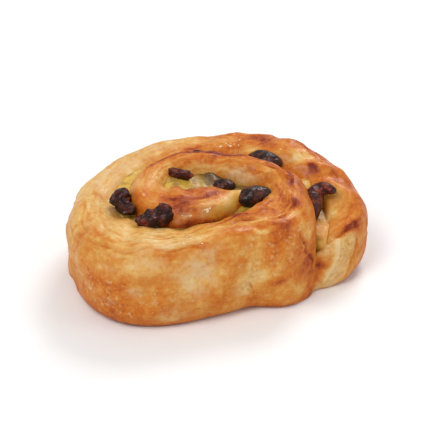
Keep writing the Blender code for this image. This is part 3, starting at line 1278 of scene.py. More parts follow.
FLAKY_PATCHES = (
    # Loose flakes low on the left, along the front, and on the mottled wall beside the tail.
    Patch(222.0, 18.0, 18.0, 10.0, 1.3),
    Patch(240.0, 12.0, 12.0, 6.0, 0.8),
    Patch(258.0, 17.0, 10.0, 9.0, 0.6),
    Patch(290.0, 26.0, 8.0, 10.0, 1.1),
    Patch(306.0, 24.0, 10.0, 10.0, 1.0),
    Patch(322.0, 29.0, 6.0, 6.0, 0.9),
    Patch(-4.0, 22.0, 6.0, 8.0, 0.7),
    Patch(12.0, 30.0, 10.0, 8.0, 0.5),
)

BULGES = (
    Patch(50.0, 39.0, 9.0, 5.0, 0.9),
    Patch(202.0, 13.0, 9.0, 5.0, -0.9),
    Patch(556.0, 34.5, 4.4, 3.6, 0.9),
    Patch(36.0, 46.0, 3.4, 2.8, 0.9),
    Patch(619.0, 37.0, 4.2, 3.0, 0.6),
    Patch(612.0, 48.0, 10.0, 4.0, 1.0),
    Patch(334.0, 38.0, 3.0, 3.0, 0.5),
    Patch(306.0, 16.0, 4.0, 1.6, 0.6),
    Patch(285.0, 35.0, 7.0, 2.4, 0.5),
    Patch(313.0, 49.0, 10.0, 2.0, 0.6),
    Patch(257.0, 23.0, 3.6, 8.0, -0.5),
    Patch(322.0, 24.0, 3.0, 3.0, 0.5),
    Patch(-8.0, 26.0, 7.0, 1.8, 0.6),
    Patch(600.0, 44.0, 8.0, 3.0, 0.4),
)

# The last number of each split darkens it, partly as a deeper bake and partly as painted shade in its crease.
SPLITS = (
    Split((319.0, 29.5), (323.5, 21.0), 1.3, 0.55, 0.34),
    Split((321.5, 22.5), (333.0, 14.5), 0.9, 0.5, 0.34),
    Split((-18.0, 22.5), (-5.0, 27.0), 0.9, 0.5, 0.44),
    Split((-24.0, 5.0), (-14.0, 25.0), 1.6, -0.7, -0.34),
    Split((-15.0, 6.0), (-8.5, 22.0), 1.3, 0.5, 0.18),
    Split((-19.0, 10.0), (-12.0, 17.0), 0.7, 0.4, 0.12),
    Split((280.0, 44.0), (324.0, 38.5), 0.6, 0.9, 0.2),
    Split((192.0, 40.5), (268.0, 42.0), 0.5, 0.45, 0.10),
    Split((206.0, 45.0), (282.0, 45.5), 0.5, 0.4, 0.10),
    Split((180.0, 33.5), (270.0, 34.0), 0.5, 0.4, 0.12),
    Split((430.0, 37.0), (540.0, 36.0), 0.5, 0.4, 0.14),
    Split((340.0, 39.0), (412.0, 37.5), 0.5, 0.45, 0.16),
    Split((340.0, 43.0), (396.0, 41.0), 0.45, 0.4, 0.14),
    Split((20.0, 41.0), (96.0, 39.5), 0.5, 0.3, 0.1),
    Split((350.0, 46.5), (450.0, 46.0), 0.45, 0.35, 0.1),
)


@dataclass
class DoughStrip:
    """The coiled strip: its form, its baked relief and the numbers that its finish reads.

    The bake rows say how far the strip is baked, from 0, pale, to 1, burnt, at each eighth of a turn: low
    and high on its outer wall, on its outer shoulder, along its top and down its inner side. A place round
    the section counts its zones from the foot, and a span gives where something comes in and where it ends.

    Attributes:
        end_angles: The steps, in degrees, in which its ends are rounded off.
        tail_end: How far the tail's rounded end goes on, as inner_end says of the inner one.
        zone_places: Where round the section each bake row lies.
        layered: How clearly the layers show off the top, and outside their clouds.
        layer_lip: How far a layer's torn edge stands out, and how far it lies in behind it.
        streak_size: How long and how wide the drawn-out stains are.
        streaked: How much they show, on the wall and over the top.
        mottled: How much the clouds of darker crust show, and how much more over mottled_span.
        foot_darkening_height: From where to where the darkening towards the foot fades out.
        swelling: The relief's large and small lumps.
        relief_from: From where to where above the table the relief comes in.
        split_closing: How far the splits close up the torn crumb.
        blister_strengths: The least and the greatest share of the full height.
        blister_reach: How far from a blister its effect is worked out, in degrees.
        glaze_shares: How thick the glaze is on the wall, off its clouds, on burnt and on dusty crust.
        surface: The plain grid.
        place: Where round the section its points lie.
    """

    shape: StripShape = StripShape()
    turn_step: float = 0.78
    end_angles: tuple[float, ...] = (15.0, 30.0, 43.0, 55.0, 66.0, 76.0)
    tail_end: float = 1.6
    inner_end: float = 3.6
    noise: LatticeNoise = LatticeNoise(7)
    low_wall: Row = Row(
        (0.6, 0.62, 0.66, 0.56, 0.54, 0.54, 0.58, 0.7, 0.54,
         0.6, 0.5, 0.5, 0.5, 0.5, 0.5, 0.6, 0.6, 0.5)
    )
    high_wall: Row = Row(
        (0.5, 0.5, 0.72, 0.6, 0.5, 0.42, 0.46, 0.54, 0.44,
         0.58, 0.64, 0.5, 0.5, 0.5, 0.5, 0.7, 0.72, 0.5)
    )
    shoulder: Row = Row(
        (0.4, 0.4, 0.64, 0.64, 0.5, 0.3, 0.26, 0.42, 0.56,
         0.52, 0.68, 0.7, 0.82, 0.76, 0.44, 0.68, 0.74, 0.56)
    )
    crest: Row = Row(
        (0.3, 0.3, 0.62, 0.68, 0.52, 0.24, 0.2, 0.24, 0.3,
         0.52, 0.58, 0.64, 0.74, 0.64, 0.34, 0.68, 0.74, 0.4)
    )
    inner_side: Row = Row(
        (0.3, 0.3, 0.46, 0.56, 0.62, 0.34, 0.26, 0.26, 0.46,
         0.62, 0.52, 0.46, 0.5, 0.46, 0.34, 0.72, 0.74, 0.36)
    )
    lamination: Row = Row(
        (0.2, 0.2, 0.2, 0.25, 0.3, 0.5, 0.7, 0.75, 0.8,
         0.75, 0.5, 0.4, 0.4, 0.45, 0.45, 0.3, 0.2, 0.2)
    )
    zone_places: tuple[float, ...] = (0.4, 1.6, 2.45, 3.4, 4.6)
    top_from: Range = (1.6, 3.0)
    layered_span: Span = ((2.3, 3.1), (5.0, 5.6))
    layered: tuple[float, float] = (0.12, 0.35)
    layered_clouds: Lumps = Lumps(1.0, 12.0, 2)
    layered_limits: Range = (-0.3, 0.5)
    layer_wander: Lumps = Lumps(2.6, 13.0, 3)
    layer_thickness: float = 2.0
    layer_lip: tuple[float, float] = (0.55, 0.28)
    streak_size: tuple[float, float] = (8.0, 1.5)
    streaked: tuple[float, float] = (0.04, 0.2)
    mottled: tuple[float, float] = (0.14, 0.2)
    mottled_span: Span = ((275.0, 290.0), (335.0, 350.0))
    mottled_clouds: Lumps = Lumps(1.0, 6.0, 4)
    specks: Lumps = Lumps(0.07, 2.2, 3)
    foot_darkening: float = 0.06
    foot_darkening_height: Range = (0.5, 5.0)
    swelling: tuple[Lumps, ...] = (Lumps(0.16, 8.0, 3), Lumps(0.2, 2.4, 3))
    relief_from: Range = (0.3, 3.0)
    crumb_edge: Lumps = Lumps(0.3, 3.0, 3)
    crumb_limits: Range = (0.4, 0.75)
    split_closing: float = 0.9
    crumb_depth: float = 0.3
    crumb_pits: Lumps = Lumps(0.55, 1.9, 2)
    blister_seed: int = 21
    blister_count: int = 420
    blister_girths: Range = (5.0, 38.0)
    blister_sizes: Range = (0.5, 1.8)
    blister_strengths: Range = (0.3, 1.0)
    blister_reach: float = 6.0
    blister_height: float = 0.3
    blister_paleness: float = 0.2
    glaze_span: Span = ((1.8, 3.0), (5.2, 6.0))
    glaze_clouds: Lumps = Lumps(1.0, 6.0, 3)
    glaze_limits: Range = (-0.4, 0.4)
    glaze_shares: tuple[float, float, float, float] = (0.3, 0.5, 0.25, 0.2)
    burnt_from: Range = (0.66, 0.95)
    bake_patches: tuple[Patch, ...] = BAKE_PATCHES
    crumb_patches: tuple[Patch, ...] = CRUMB_PATCHES
    soaked_patches: tuple[Patch, ...] = SOAKED_PATCHES
    dusty_patches: tuple[Patch, ...] = DUSTY_PATCHES
    flaky_patches: tuple[Patch, ...] = FLAKY_PATCHES
    bulges: tuple[Patch, ...] = BULGES
    splits: tuple[Split, ...] = SPLITS
    surface: StripSurface = field(init=False)
    place: np.ndarray = field(init=False)

    def __post_init__(self) -> None:
        """Lays the plain grid, ready to be looked up or built."""
        inner = np.arange(Turn.ROOT, Turn.LAST + 0.5 * self.turn_step, self.turn_step)
        inner[-1] = Turn.LAST
        turned = np.radians(self.end_angles)
        ends = len(turned)
        still = np.zeros(len(inner))
        turns = np.concatenate(
            (np.full(ends, float(Turn.ROOT)), inner, np.full(ends, float(Turn.LAST)))
        )
        shrink = np.concatenate((1.0 - np.cos(turned[::-1]), still, 1.0 - np.cos(turned)))
        back, on = -self.tail_end * np.sin(turned[::-1]), self.inner_end * np.sin(turned)
        self.surface = self.shape.surface(turns, shrink, np.concatenate((back, still, on)))
        counts = [zone.steps for zone in Zone]
        self.place = np.concatenate(
            [k + np.linspace(0.0, 1.0, count, endpoint=False) for k, count in enumerate(counts)]
        )

    def along_rows(self, rows: tuple[tuple[float, Row], ...]) -> np.ndarray:
        """Numbers given by rows at places round the section, blended between them.

        Args:
            rows: Each row with its place, which counts zones from the foot.

        Returns:
            The numbers in the grid's shape.
        """
        turns = self.surface.turns[:, 0]
        columns = np.stack([row.at(turns) for _, row in rows], axis=1)
        places = np.array([place for place, _ in rows])
        right = np.clip(np.searchsorted(places, self.place), 1, len(places) - 1)
        share = smooth(0.0, 1.0, (self.place - places[right - 1]) / (places[right] - places[right - 1]))
        return mix(columns[:, right - 1], columns[:, right], share)

    def laminated(self) -> np.ndarray:
        """How clearly the dough's layers show, from 0 to 1.

        Returns:
            The share in the grid's shape.
        """
        clear = self.lamination.at(self.surface.turns[:, 0])[:, None]
        over_top = mix(self.layered[0], 1.0, band(*self.layered_span, self.place))
        clouds = self.layered_clouds.at(self.noise, self.surface.points)
        patchy = smooth(*self.layered_limits, clouds)
        return clear * over_top * mix(self.layered[1], 1.0, patchy)

    def layer(self) -> np.ndarray:
        """A count of the dough's layers across the surface, which wanders as torn layers do."""
        wander = self.layer_wander.at(self.noise, self.surface.points)
        return (self.surface.girth + wander) / self.layer_thickness

    def streaks(self) -> np.ndarray:
        """Stains drawn out along the strip, as its layers stretch.

        Returns:
            Values of about -1 to 1 in the grid's shape.
        """
        length = self.surface.length() / self.streak_size[0]
        girth = self.surface.girth / self.streak_size[1]
        return self.noise.at(np.stack((length, girth, np.zeros_like(girth)), axis=2), 1.0, 3)

    def touched(self, patches: tuple[Patch, ...]) -> np.ndarray:
        """How strongly a set of patches touches each point, from 0 to 1."""
        return np.clip(self.surface.total(patches), 0.0, 1.0)

    def crumb(self) -> np.ndarray:
        """How far the torn inside of the dough shows, from 0 to 1.

        Returns:
            The share in the grid's shape.
        """
        near = self.surface.total(self.crumb_patches)
        near = near - self.split_closing * sum(split.nearness(self.surface) for split in self.splits)
        return smooth(*self.crumb_limits, near + self.crumb_edge.at(self.noise, self.surface.points))

    def bake(self) -> np.ndarray:
        """How far each point is baked, from 0, pale, to 1, burnt.

        Returns:
            The share in the grid's shape.
        """
        surface, noise = self.surface, self.noise
        rows = (self.low_wall, self.high_wall, self.shoulder, self.crest, self.inner_side)
        out = self.along_rows(tuple(zip(self.zone_places, rows)))
        over_top = smooth(*self.top_from, self.place)
        mottled = self.mottled[0] + self.mottled[1] * band(*self.mottled_span, surface.turns)
        out = out + mix(*self.streaked, over_top) * self.streaks()
        out = out + mottled * self.mottled_clouds.at(noise, surface.points)
        out = out - self.blister_paleness * self.blisters() + self.specks.at(noise, surface.points)
        # A few patches are painted highlights: pale places on the inner end's front and on the right-hand
        # slope.
        out = out + surface.total(self.bake_patches)
        # The splits darken the crust partly as a deeper bake and partly as painted shade in their creases.
        out = out + sum(split.browning_and_shade * split.nearness(surface) for split in self.splits)
        # Darker towards the foot.
        low = 1.0 - smooth(*self.foot_darkening_height, surface.points[..., 2])
        return np.clip(out + self.foot_darkening * low, 0.0, 1.0)

    def stand_out(self) -> np.ndarray:
        """How far the baked relief stands out of the plain form.

        Returns:
            The height in the grid's shape, in millimetres.
        """
        surface, noise = self.surface, self.noise
        layer = self.layer()
        lip = self.layer_lip[0] * (layer - np.floor(layer)) - self.layer_lip[1]
        out = sum(lumps.at(noise, surface.points) for lumps in self.swelling)
        out = out + self.laminated() * lip + self.blister_height * self.blisters()
        pits = np.abs(self.crumb_pits.at(noise, surface.points))
        out = out - self.crumb() * (self.crumb_depth + pits) + surface.total(self.bulges)
        out = out - sum(split.depth * split.nearness(surface) for split in self.splits)
        return out * smooth(*self.relief_from, surface.points[..., 2])

    def blisters(self) -> np.ndarray:
        """How near each point is to a small dome on the outer wall.

        Returns:
            The nearness, from 0 to 1, in the grid's shape.
        """
        chance = np.random.default_rng(self.blister_seed)
        domes = np.zeros(self.surface.turns.shape)
        turns = self.surface.turns[:, 0]
        for _ in range(self.blister_count):
            turn = chance.uniform(Turn.TAIL, Turn.WALL_END)
            girth, size, strength = (
                chance.uniform(*limits)
                for limits in (self.blister_girths, self.blister_sizes, self.blister_strengths)
            )
            near = np.abs(turns - turn) < self.blister_reach
            off_along = np.radians(turns[near] - turn)[:, None] * self.surface.arm[near]
            apart = (off_along**2 + (self.surface.girth[near] - girth) ** 2) / size**2
            domes[near] = np.maximum(domes[near], strength * np.exp(-apart))
        return domes

    def glaze(self, bake: np.ndarray, crumb: np.ndarray) -> np.ndarray:
        """How thick the glaze lies, from 0 to 1.

        Args:
            bake: How far each point is baked.
            crumb: How far the torn inside shows.

        Returns:
            The share in the grid's shape.
        """
        on_wall, off_clouds, on_burnt, on_dusty = self.glaze_shares
        clouds = self.glaze_clouds.at(self.noise, self.surface.points)
        shine = mix(on_wall, 1.0, band(*self.glaze_span, self.place))
        shine = shine * mix(off_clouds, 1.0, smooth(*self.glaze_limits, clouds))
        shine = shine * mix(1.0, on_burnt, smooth(*self.burnt_from, bake))
        bare = mix(1.0, on_dusty, self.touched(self.dusty_patches)) * (1.0 - crumb)
        return np.clip(shine * bare, 0.0, 1.0)

    def place_on(self, turn: float, girth: float, height: float = 0.0) -> tuple[np.ndarray, np.ndarray]:
        """A place on the plain strip.

        Args:
            turn: Its turn.
            girth: Its girth.
            height: How far it stands off the surface.

        Returns:
            The place and the outward direction there.
        """
        surface = self.surface
        row = int(np.argmin(np.abs(surface.turns[:, 0] - turn)))
        column = int(np.argmin(np.abs(surface.girth[row] - girth)))
        out = surface.normals()[row, column]
        return surface.points[row, column] + out * height, out

    def build(self, finish: DoughFinish) -> bpy.types.Object:
        """Makes the strip.

        Args:
            finish: Its finish.

        Returns:
            The strip's object.
        """
        surface = self.surface
        grid = surface.points + surface.normals() * self.stand_out()[..., None]
        grid[..., 2] = np.maximum(grid[..., 2], 0.0)
        bake, crumb = self.bake(), self.crumb()
        made = closed_loft("dough_crust", grid)
        for name, values in {
            "bake": bake,
            "crumb": crumb,
            "layer": self.layer(),
            "laminated": self.laminated(),
            "glaze": self.glaze(bake, crumb),
            "soaked": self.touched(self.soaked_patches),
            "dusty": self.touched(self.dusty_patches),
            "flaky": self.touched(self.flaky_patches),
            "length": surface.length(),
            "girth": surface.girth,
        }.items():
            add_attribute(made, name, values)
        made.data.materials.append(finish.build())
        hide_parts("dough")
        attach(made, BODY)
        return made


@dataclass(frozen=True)
class Sheet:
    """A stretch of the strip that carries small trim.

    Attributes:
        turns: Its first and last turn.
        girths: Its lowest and highest girth.
        count: How many pieces lie on it.
        size: How long they are.
    """

    turns: Range
    girths: Range
    count: int
    size: float


@dataclass(frozen=True)
class CrustCrumbs:
    """Loose crumbs of crust on the dough, laid by one Geometry Nodes tree.

    Attributes:
        name: The piece's name.
        sheets: Where the crumbs lie.
        size_range: The smallest and largest, as shares of a sheet's size.
        lift: How far their middles stand off the dough.
        width: How wide one is, its length being 1.
        flatness: How thick one is, its length being 1.
        bend: How far the noise bends it out of shape.
        bend_scale: How close the noise's lumps are.
        seed: Picks the places.
    """

    name: str = "crust_crumbs"
    sheets: tuple[Sheet, ...] = (
        Sheet((286.0, 306.0), (9.0, 26.0), 26, 0.7),
        Sheet((-22.0, -6.0), (8.0, 24.0), 20, 0.7),
        Sheet((120.0, 330.0), (4.0, 40.0), 40, 0.5),
        Sheet((0.0, 120.0), (4.0, 44.0), 30, 0.5),
    )
    size_range: Range = (0.5, 1.3)
    lift: float = 0.05
    width: float = 0.55
    flatness: float = 0.5
    bend: float = 0.9
    bend_scale: float = 1.6
    seed: int = 5

    def tree(self) -> GeometryTree:
        """Builds the tree: a small bent leaf on every point, turned to the surface.

        Returns:
            The tree.
        """
        made = GeometryTree(
            "small_trim",
            (
                ("Geometry", "Geometry"),
                ("Flatness", "Float"),
                ("Seed", "Int"),
                ("Material", "Material"),
            ),
        )
        leaf = made.node("GeometryNodeMeshIcoSphere", {"Radius": 0.5, "Subdivisions": 2}).outputs["Mesh"]
        place = made.node("GeometryNodeInputPosition").outputs["Position"]
        inputs = {"Vector": place, "Scale": self.bend_scale, "Detail": 1.0}
        noise = made.node("ShaderNodeTexNoise", inputs).outputs["Color"]
        inputs = {0: noise, 1: (0.5, 0.5, 0.5)}
        wave = made.node("ShaderNodeVectorMath", inputs, operation="SUBTRACT").outputs["Vector"]
        inputs = {"Geometry": leaf, "Offset": made.scaled(wave, self.bend)}
        bent = made.node("GeometryNodeSetPosition", inputs).outputs["Geometry"]
        inputs = {"X": 1.0, "Y": self.width, "Z": made.given["Flatness"]}
        flat = made.node("ShaderNodeCombineXYZ", inputs).outputs["Vector"]
        pressed = made.node("GeometryNodeTransform", {"Geometry": bent, "Scale": flat})
        aim = made.node("GeometryNodeInputNamedAttribute", {"Name": "out"}, data_type="FLOAT_VECTOR")
        inputs = {"Vector": aim.outputs["Attribute"]}
        upright = made.node("FunctionNodeAlignRotationToVector", inputs, axis="Z", pivot_axis="AUTO")
        spin = made.node(
            "FunctionNodeRandomValue", {2: 0.0, 3: math.tau, "Seed": made.given["Seed"]}, data_type="FLOAT"
        ).outputs[1]
        about = made.node("FunctionNodeAxisAngleToRotation", {"Axis": (0.0, 0.0, 1.0), "Angle": spin})
        turned = made.node(
            "FunctionNodeRotateRotation",
            {"Rotation": upright.outputs["Rotation"], "Rotate By": about.outputs["Rotation"]},
            rotation_space="LOCAL",
        )
        size = made.node("GeometryNodeInputNamedAttribute", {"Name": "size"}, data_type="FLOAT")
        laid = made.node(
            "GeometryNodeInstanceOnPoints",
            {
                "Points": made.given["Geometry"],
                "Instance": made.smoothed(pressed.outputs["Geometry"]),
                "Rotation": turned.outputs["Rotation"],
                "Scale": size.outputs["Attribute"],
            },
        )
        made.finish(laid.outputs["Instances"])
        return made

    def spots(self, dough: DoughStrip) -> list[tuple[np.ndarray, np.ndarray, float]]:
        """Picks where the pieces lie.

        Args:
            dough: The strip that they lie on.

        Returns:
            Each one's place, the way out of the dough there, and its size.
        """
        chance = np.random.default_rng(self.seed)
        found = []
        for sheet in self.sheets:
            for _ in range(sheet.count):
                turn, girth = chance.uniform(*sheet.turns), chance.uniform(*sheet.girths)
                point, out = dough.place_on(turn, girth, self.lift)
                found.append((point, out, sheet.size * chance.uniform(*self.size_range)))
        return found

    def build(self, dough: DoughStrip, finish: bpy.types.Material) -> bpy.types.Object:
        """Makes the pieces.

        Args:
            dough: The strip that they lie on.
            finish: Their material.

        Returns:
            The object that holds them all.
        """
        spots = self.spots(dough)
        host = bpy.data.meshes.new(f"{self.name}_spots")
        host.from_pydata([tuple(point * MM) for point, _, _ in spots], [], [])
        ways = np.array([way for _, way, _ in spots], dtype=np.float32)
        host.attributes.new("out", "FLOAT_VECTOR", "POINT").data.foreach_set("vector", ways.ravel())
        sizes = np.array([size * MM for _, _, size in spots], dtype=np.float32)
        host.attributes.new("size", "FLOAT", "POINT").data.foreach_set("value", sizes)
        values = {"Flatness": self.flatness, "Seed": self.seed, "Material": finish}
        made = object_of(self.name, self.tree().apply(self.name, host, values))
        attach(made, BODY)
        return made


@dataclass(frozen=True)
class PaintedGlintBeads(CrustCrumbs):
    """Near-white drops of set sugar glaze that are painted highlights: they stand in for the small bright
    sparkles.
    """

    name: str = "painted_glint_beads"
    sheets: tuple[Sheet, ...] = (
        # The bright streaks on the inner end's front: painted highlight on its glaze.
        Sheet((616.0, 628.0), (33.5, 40.0), 12, 2.4),
        Sheet((244.0, 262.0), (34.0, 44.0), 5, 1.0),
        Sheet((72.0, 90.0), (44.0, 49.0), 8, 1.3),
        Sheet((590.0, 640.0), (30.0, 40.0), 4, 0.8),
        Sheet((28.0, 60.0), (40.0, 48.0), 5, 0.9),
    )
    flatness: float = 0.24
    seed: int = 8


@dataclass(frozen=True)
class CreamFilling:
    """The cream in the groove between the turns and in the inner hollow.

    A spot is a bearing and a reach, a radius, and how deep a stain or how tall a heap is there.

    Attributes:
        shape: The strip that the cream lies between.
        top: How high it stands at the roll's centre.
        edge_drop: How much lower it lies at edge_reach from there.
        tail_dip: How far it sinks towards the tail.
        tail_bearing: Where it does.
        tail_spread: How widely it does, in degrees.
        tail_reach: From where to where it comes to its full depth.
        floor: How far its underside is above the table.
        start_turn: Where it starts.
        close_in: How soon its inner side reaches the centre, in degrees.
        turn_step: The mesh's step along it.
        steps_across: The mesh's points across it.
        tuck: How far it goes into the dough on either side.
        rim: How far it creeps up the dough.
        lumps: How uneven its top is.
        stain_edge: How uneven its stains are.
        toasted_and_shaded_places: The dark brown stains, partly toasted cream and partly painted shade in the
            inner hollow and between the turns.
        golden_places: The golden ones.
        heaps: The soft heaps.
        noise: The noise under all of its unevenness.
    """

    shape: StripShape = StripShape()
    top: float = 29.0
    edge_drop: float = 3.0
    edge_reach: float = 40.0
    tail_dip: float = 9.0
    tail_bearing: float = -25.0
    tail_spread: float = 32.0
    tail_reach: Range = (22.0, 34.0)
    floor: float = 0.5
    start_turn: float = -19.0
    close_in: float = 24.0
    turn_step: float = 1.5
    steps_across: int = 22
    tuck: float = 1.4
    rim: float = 0.7
    lumps: tuple[Lumps, ...] = (Lumps(0.55, 4.5, 3), Lumps(0.25, 1.4, 2))
    stain_edge: Lumps = Lumps(0.3, 2.0, 3)
    toasted_and_shaded_places: tuple[Spot, ...] = (
        (75.0, 9.0, 5.0, 0.9),
        (100.0, 12.0, 4.0, 0.6),
        (139.0, 19.0, 5.0, 0.5),
        (268.0, 17.0, 8.0, 0.8),
        (240.0, 20.0, 8.0, 0.8),
        (300.0, 17.0, 6.0, 0.6),
        (56.0, 27.0, 6.0, 0.7),
        (97.0, 13.6, 5.6, 1.4),
        (84.0, 9.5, 6.5, 1.0),
        (40.0, 12.0, 5.0, 0.7),
    )
    golden_places: tuple[Spot, ...] = (
        (-10.0, 37.0, 11.0, 1.0),
        (22.0, 33.5, 6.0, 0.5),
    )
    heaps: tuple[Spot, ...] = (
        (22.0, 33.5, 5.0, 2.6),
        (-10.0, 35.0, 6.0, 1.4),
        (-17.0, 36.5, 6.0, 2.2),
        (172.0, 33.0, 6.0, 1.5),
        (152.0, 32.0, 7.0, 2.6),
        (132.0, 17.0, 6.0, 2.4),
        (156.0, 19.0, 5.0, 2.4),
        (96.0, 13.0, 4.6, 2.2),
    )
    noise: LatticeNoise = LatticeNoise(11)

    def level(self, bearing: np.ndarray, reach: np.ndarray) -> np.ndarray:
        """How high the cream stands.

        Args:
            bearing: Bearings about the roll's centre.
            reach: Distances from it.

        Returns:
            Heights.
        """
        off_tail = (bearing - self.tail_bearing + 180.0) % 360.0 - 180.0
        dip = self.tail_dip * np.exp(-((off_tail / self.tail_spread) ** 2))
        dip = dip * smooth(*self.tail_reach, reach)
        return self.top - self.edge_drop * (reach / self.edge_reach) ** 2 - dip

    def stained(self, points: np.ndarray, places: tuple[Spot, ...]) -> np.ndarray:
        """How deeply the cream is stained, from 0 to 1.

        Args:
            points: Places in space.
            places: The stains.

        Returns:
            The share at each place.
        """
        near = np.zeros(points.shape[:-1])
        for bearing, reach, radius, amount in places:
            apart = np.linalg.norm(points[..., :2] - self.shape.plan_point(bearing, reach), axis=-1)
            near = np.maximum(near, amount * np.exp(-((apart / radius) ** 2)))
        return np.clip(near + near * self.stain_edge.at(self.noise, points), 0.0, 1.0)

    def build(self, finish: CreamFinish) -> bpy.types.Object:
        """Makes the cream.

        Args:
            finish: Its finish.

        Returns:
            The cream's object.
        """
        turns = np.arange(self.start_turn, Turn.HUMP + 0.1, self.turn_step)
        outside = self.shape.reach.at(turns) - self.shape.thickness.at(turns) + self.tuck
        next_turns = np.minimum(turns + Turn.FULL, float(Turn.LAST))
        inside = self.shape.reach.at(next_turns) - self.tuck
        closing = Turn.LAST - Turn.FULL
        inside = mix(inside, 0.0, smooth(closing, closing + self.close_in, turns))
        share = np.linspace(0.0, 1.0, self.steps_across)
        reach = mix(outside[:, None], inside[:, None], share)
        plan = self.shape.plan_point(turns[:, None], reach)
        height = self.level(turns[:, None], reach)
        flat = np.concatenate((plan, height[..., None]), axis=2)
        height = height + sum(lumps.at(self.noise, flat) for lumps in self.lumps)
        for bearing, far, radius, tall in self.heaps:
            apart = np.linalg.norm(plan - self.shape.plan_point(bearing, far), axis=2)
            height = height + tall * np.exp(-((apart / radius) ** 2))
        height = height + self.rim * np.abs(2.0 * share - 1.0) ** 4
        top = np.concatenate((plan, height[..., None]), axis=2)
        bottom = top[:, ::-1].copy()
        bottom[..., 2] = self.floor
        ring = np.concatenate((top, bottom[:, :: self.steps_across - 1]), axis=1)
        made = closed_loft("cream_filling", ring)
        # Dark stains: partly toasted cream, partly painted shade in the inner hollow and between the turns.
        add_attribute(made, "toasted_and_shaded", self.stained(ring, self.toasted_and_shaded_places))
        add_attribute(made, "golden", self.stained(ring, self.golden_places))
        made.data.materials.append(finish.build())
        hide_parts("cream")
        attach(made, BODY)
        return made


@dataclass(frozen=True)
class Lobe:
    """A second lobe of a crumpled raisin, whose place and heading are in the raisin's own directions."""

    place: tuple[float, float, float] = (0.0, 0.0, 0.0)
    size: tuple[float, float, float] = (1.0, 1.0, 1.0)
    heading: float = 0.0


@dataclass(frozen=True)
class Raisin:
    """One raisin, and how it lies.

    Attributes:
        node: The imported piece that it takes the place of.
        bearing: Where it lies: the bearing about the roll's centre.
        reach: And the distance from the centre.
        height: How high its middle is.
        size: Its length, width and height.
        heading: Which way its length points.
        tilt: How far that end is raised, in degrees.
        tone: Its kind.
        wrinkling: How deep its folds are.
        crease_spacing: How far apart they are.
        seed: Picks the folds.
        lobe: Its second lobe.
    """

    node: str
    bearing: float
    reach: float
    height: float
    size: tuple[float, float, float]
    heading: float
    tilt: float
    tone: RaisinTone
    wrinkling: float
    crease_spacing: float
    seed: float
    lobe: Lobe = Lobe()

    def matrix(self, shape: StripShape) -> Matrix:
        """Where the raisin lies.

        Args:
            shape: The strip, for the roll's centre.

        Returns:
            The turn and place, in metres.
        """
        x, y = shape.plan_point(self.bearing, self.reach)
        turned = Euler((0.0, -math.radians(self.tilt), math.radians(self.heading)))
        return Matrix.Translation((x * MM, y * MM, self.height * MM)) @ turned.to_matrix().to_4x4()


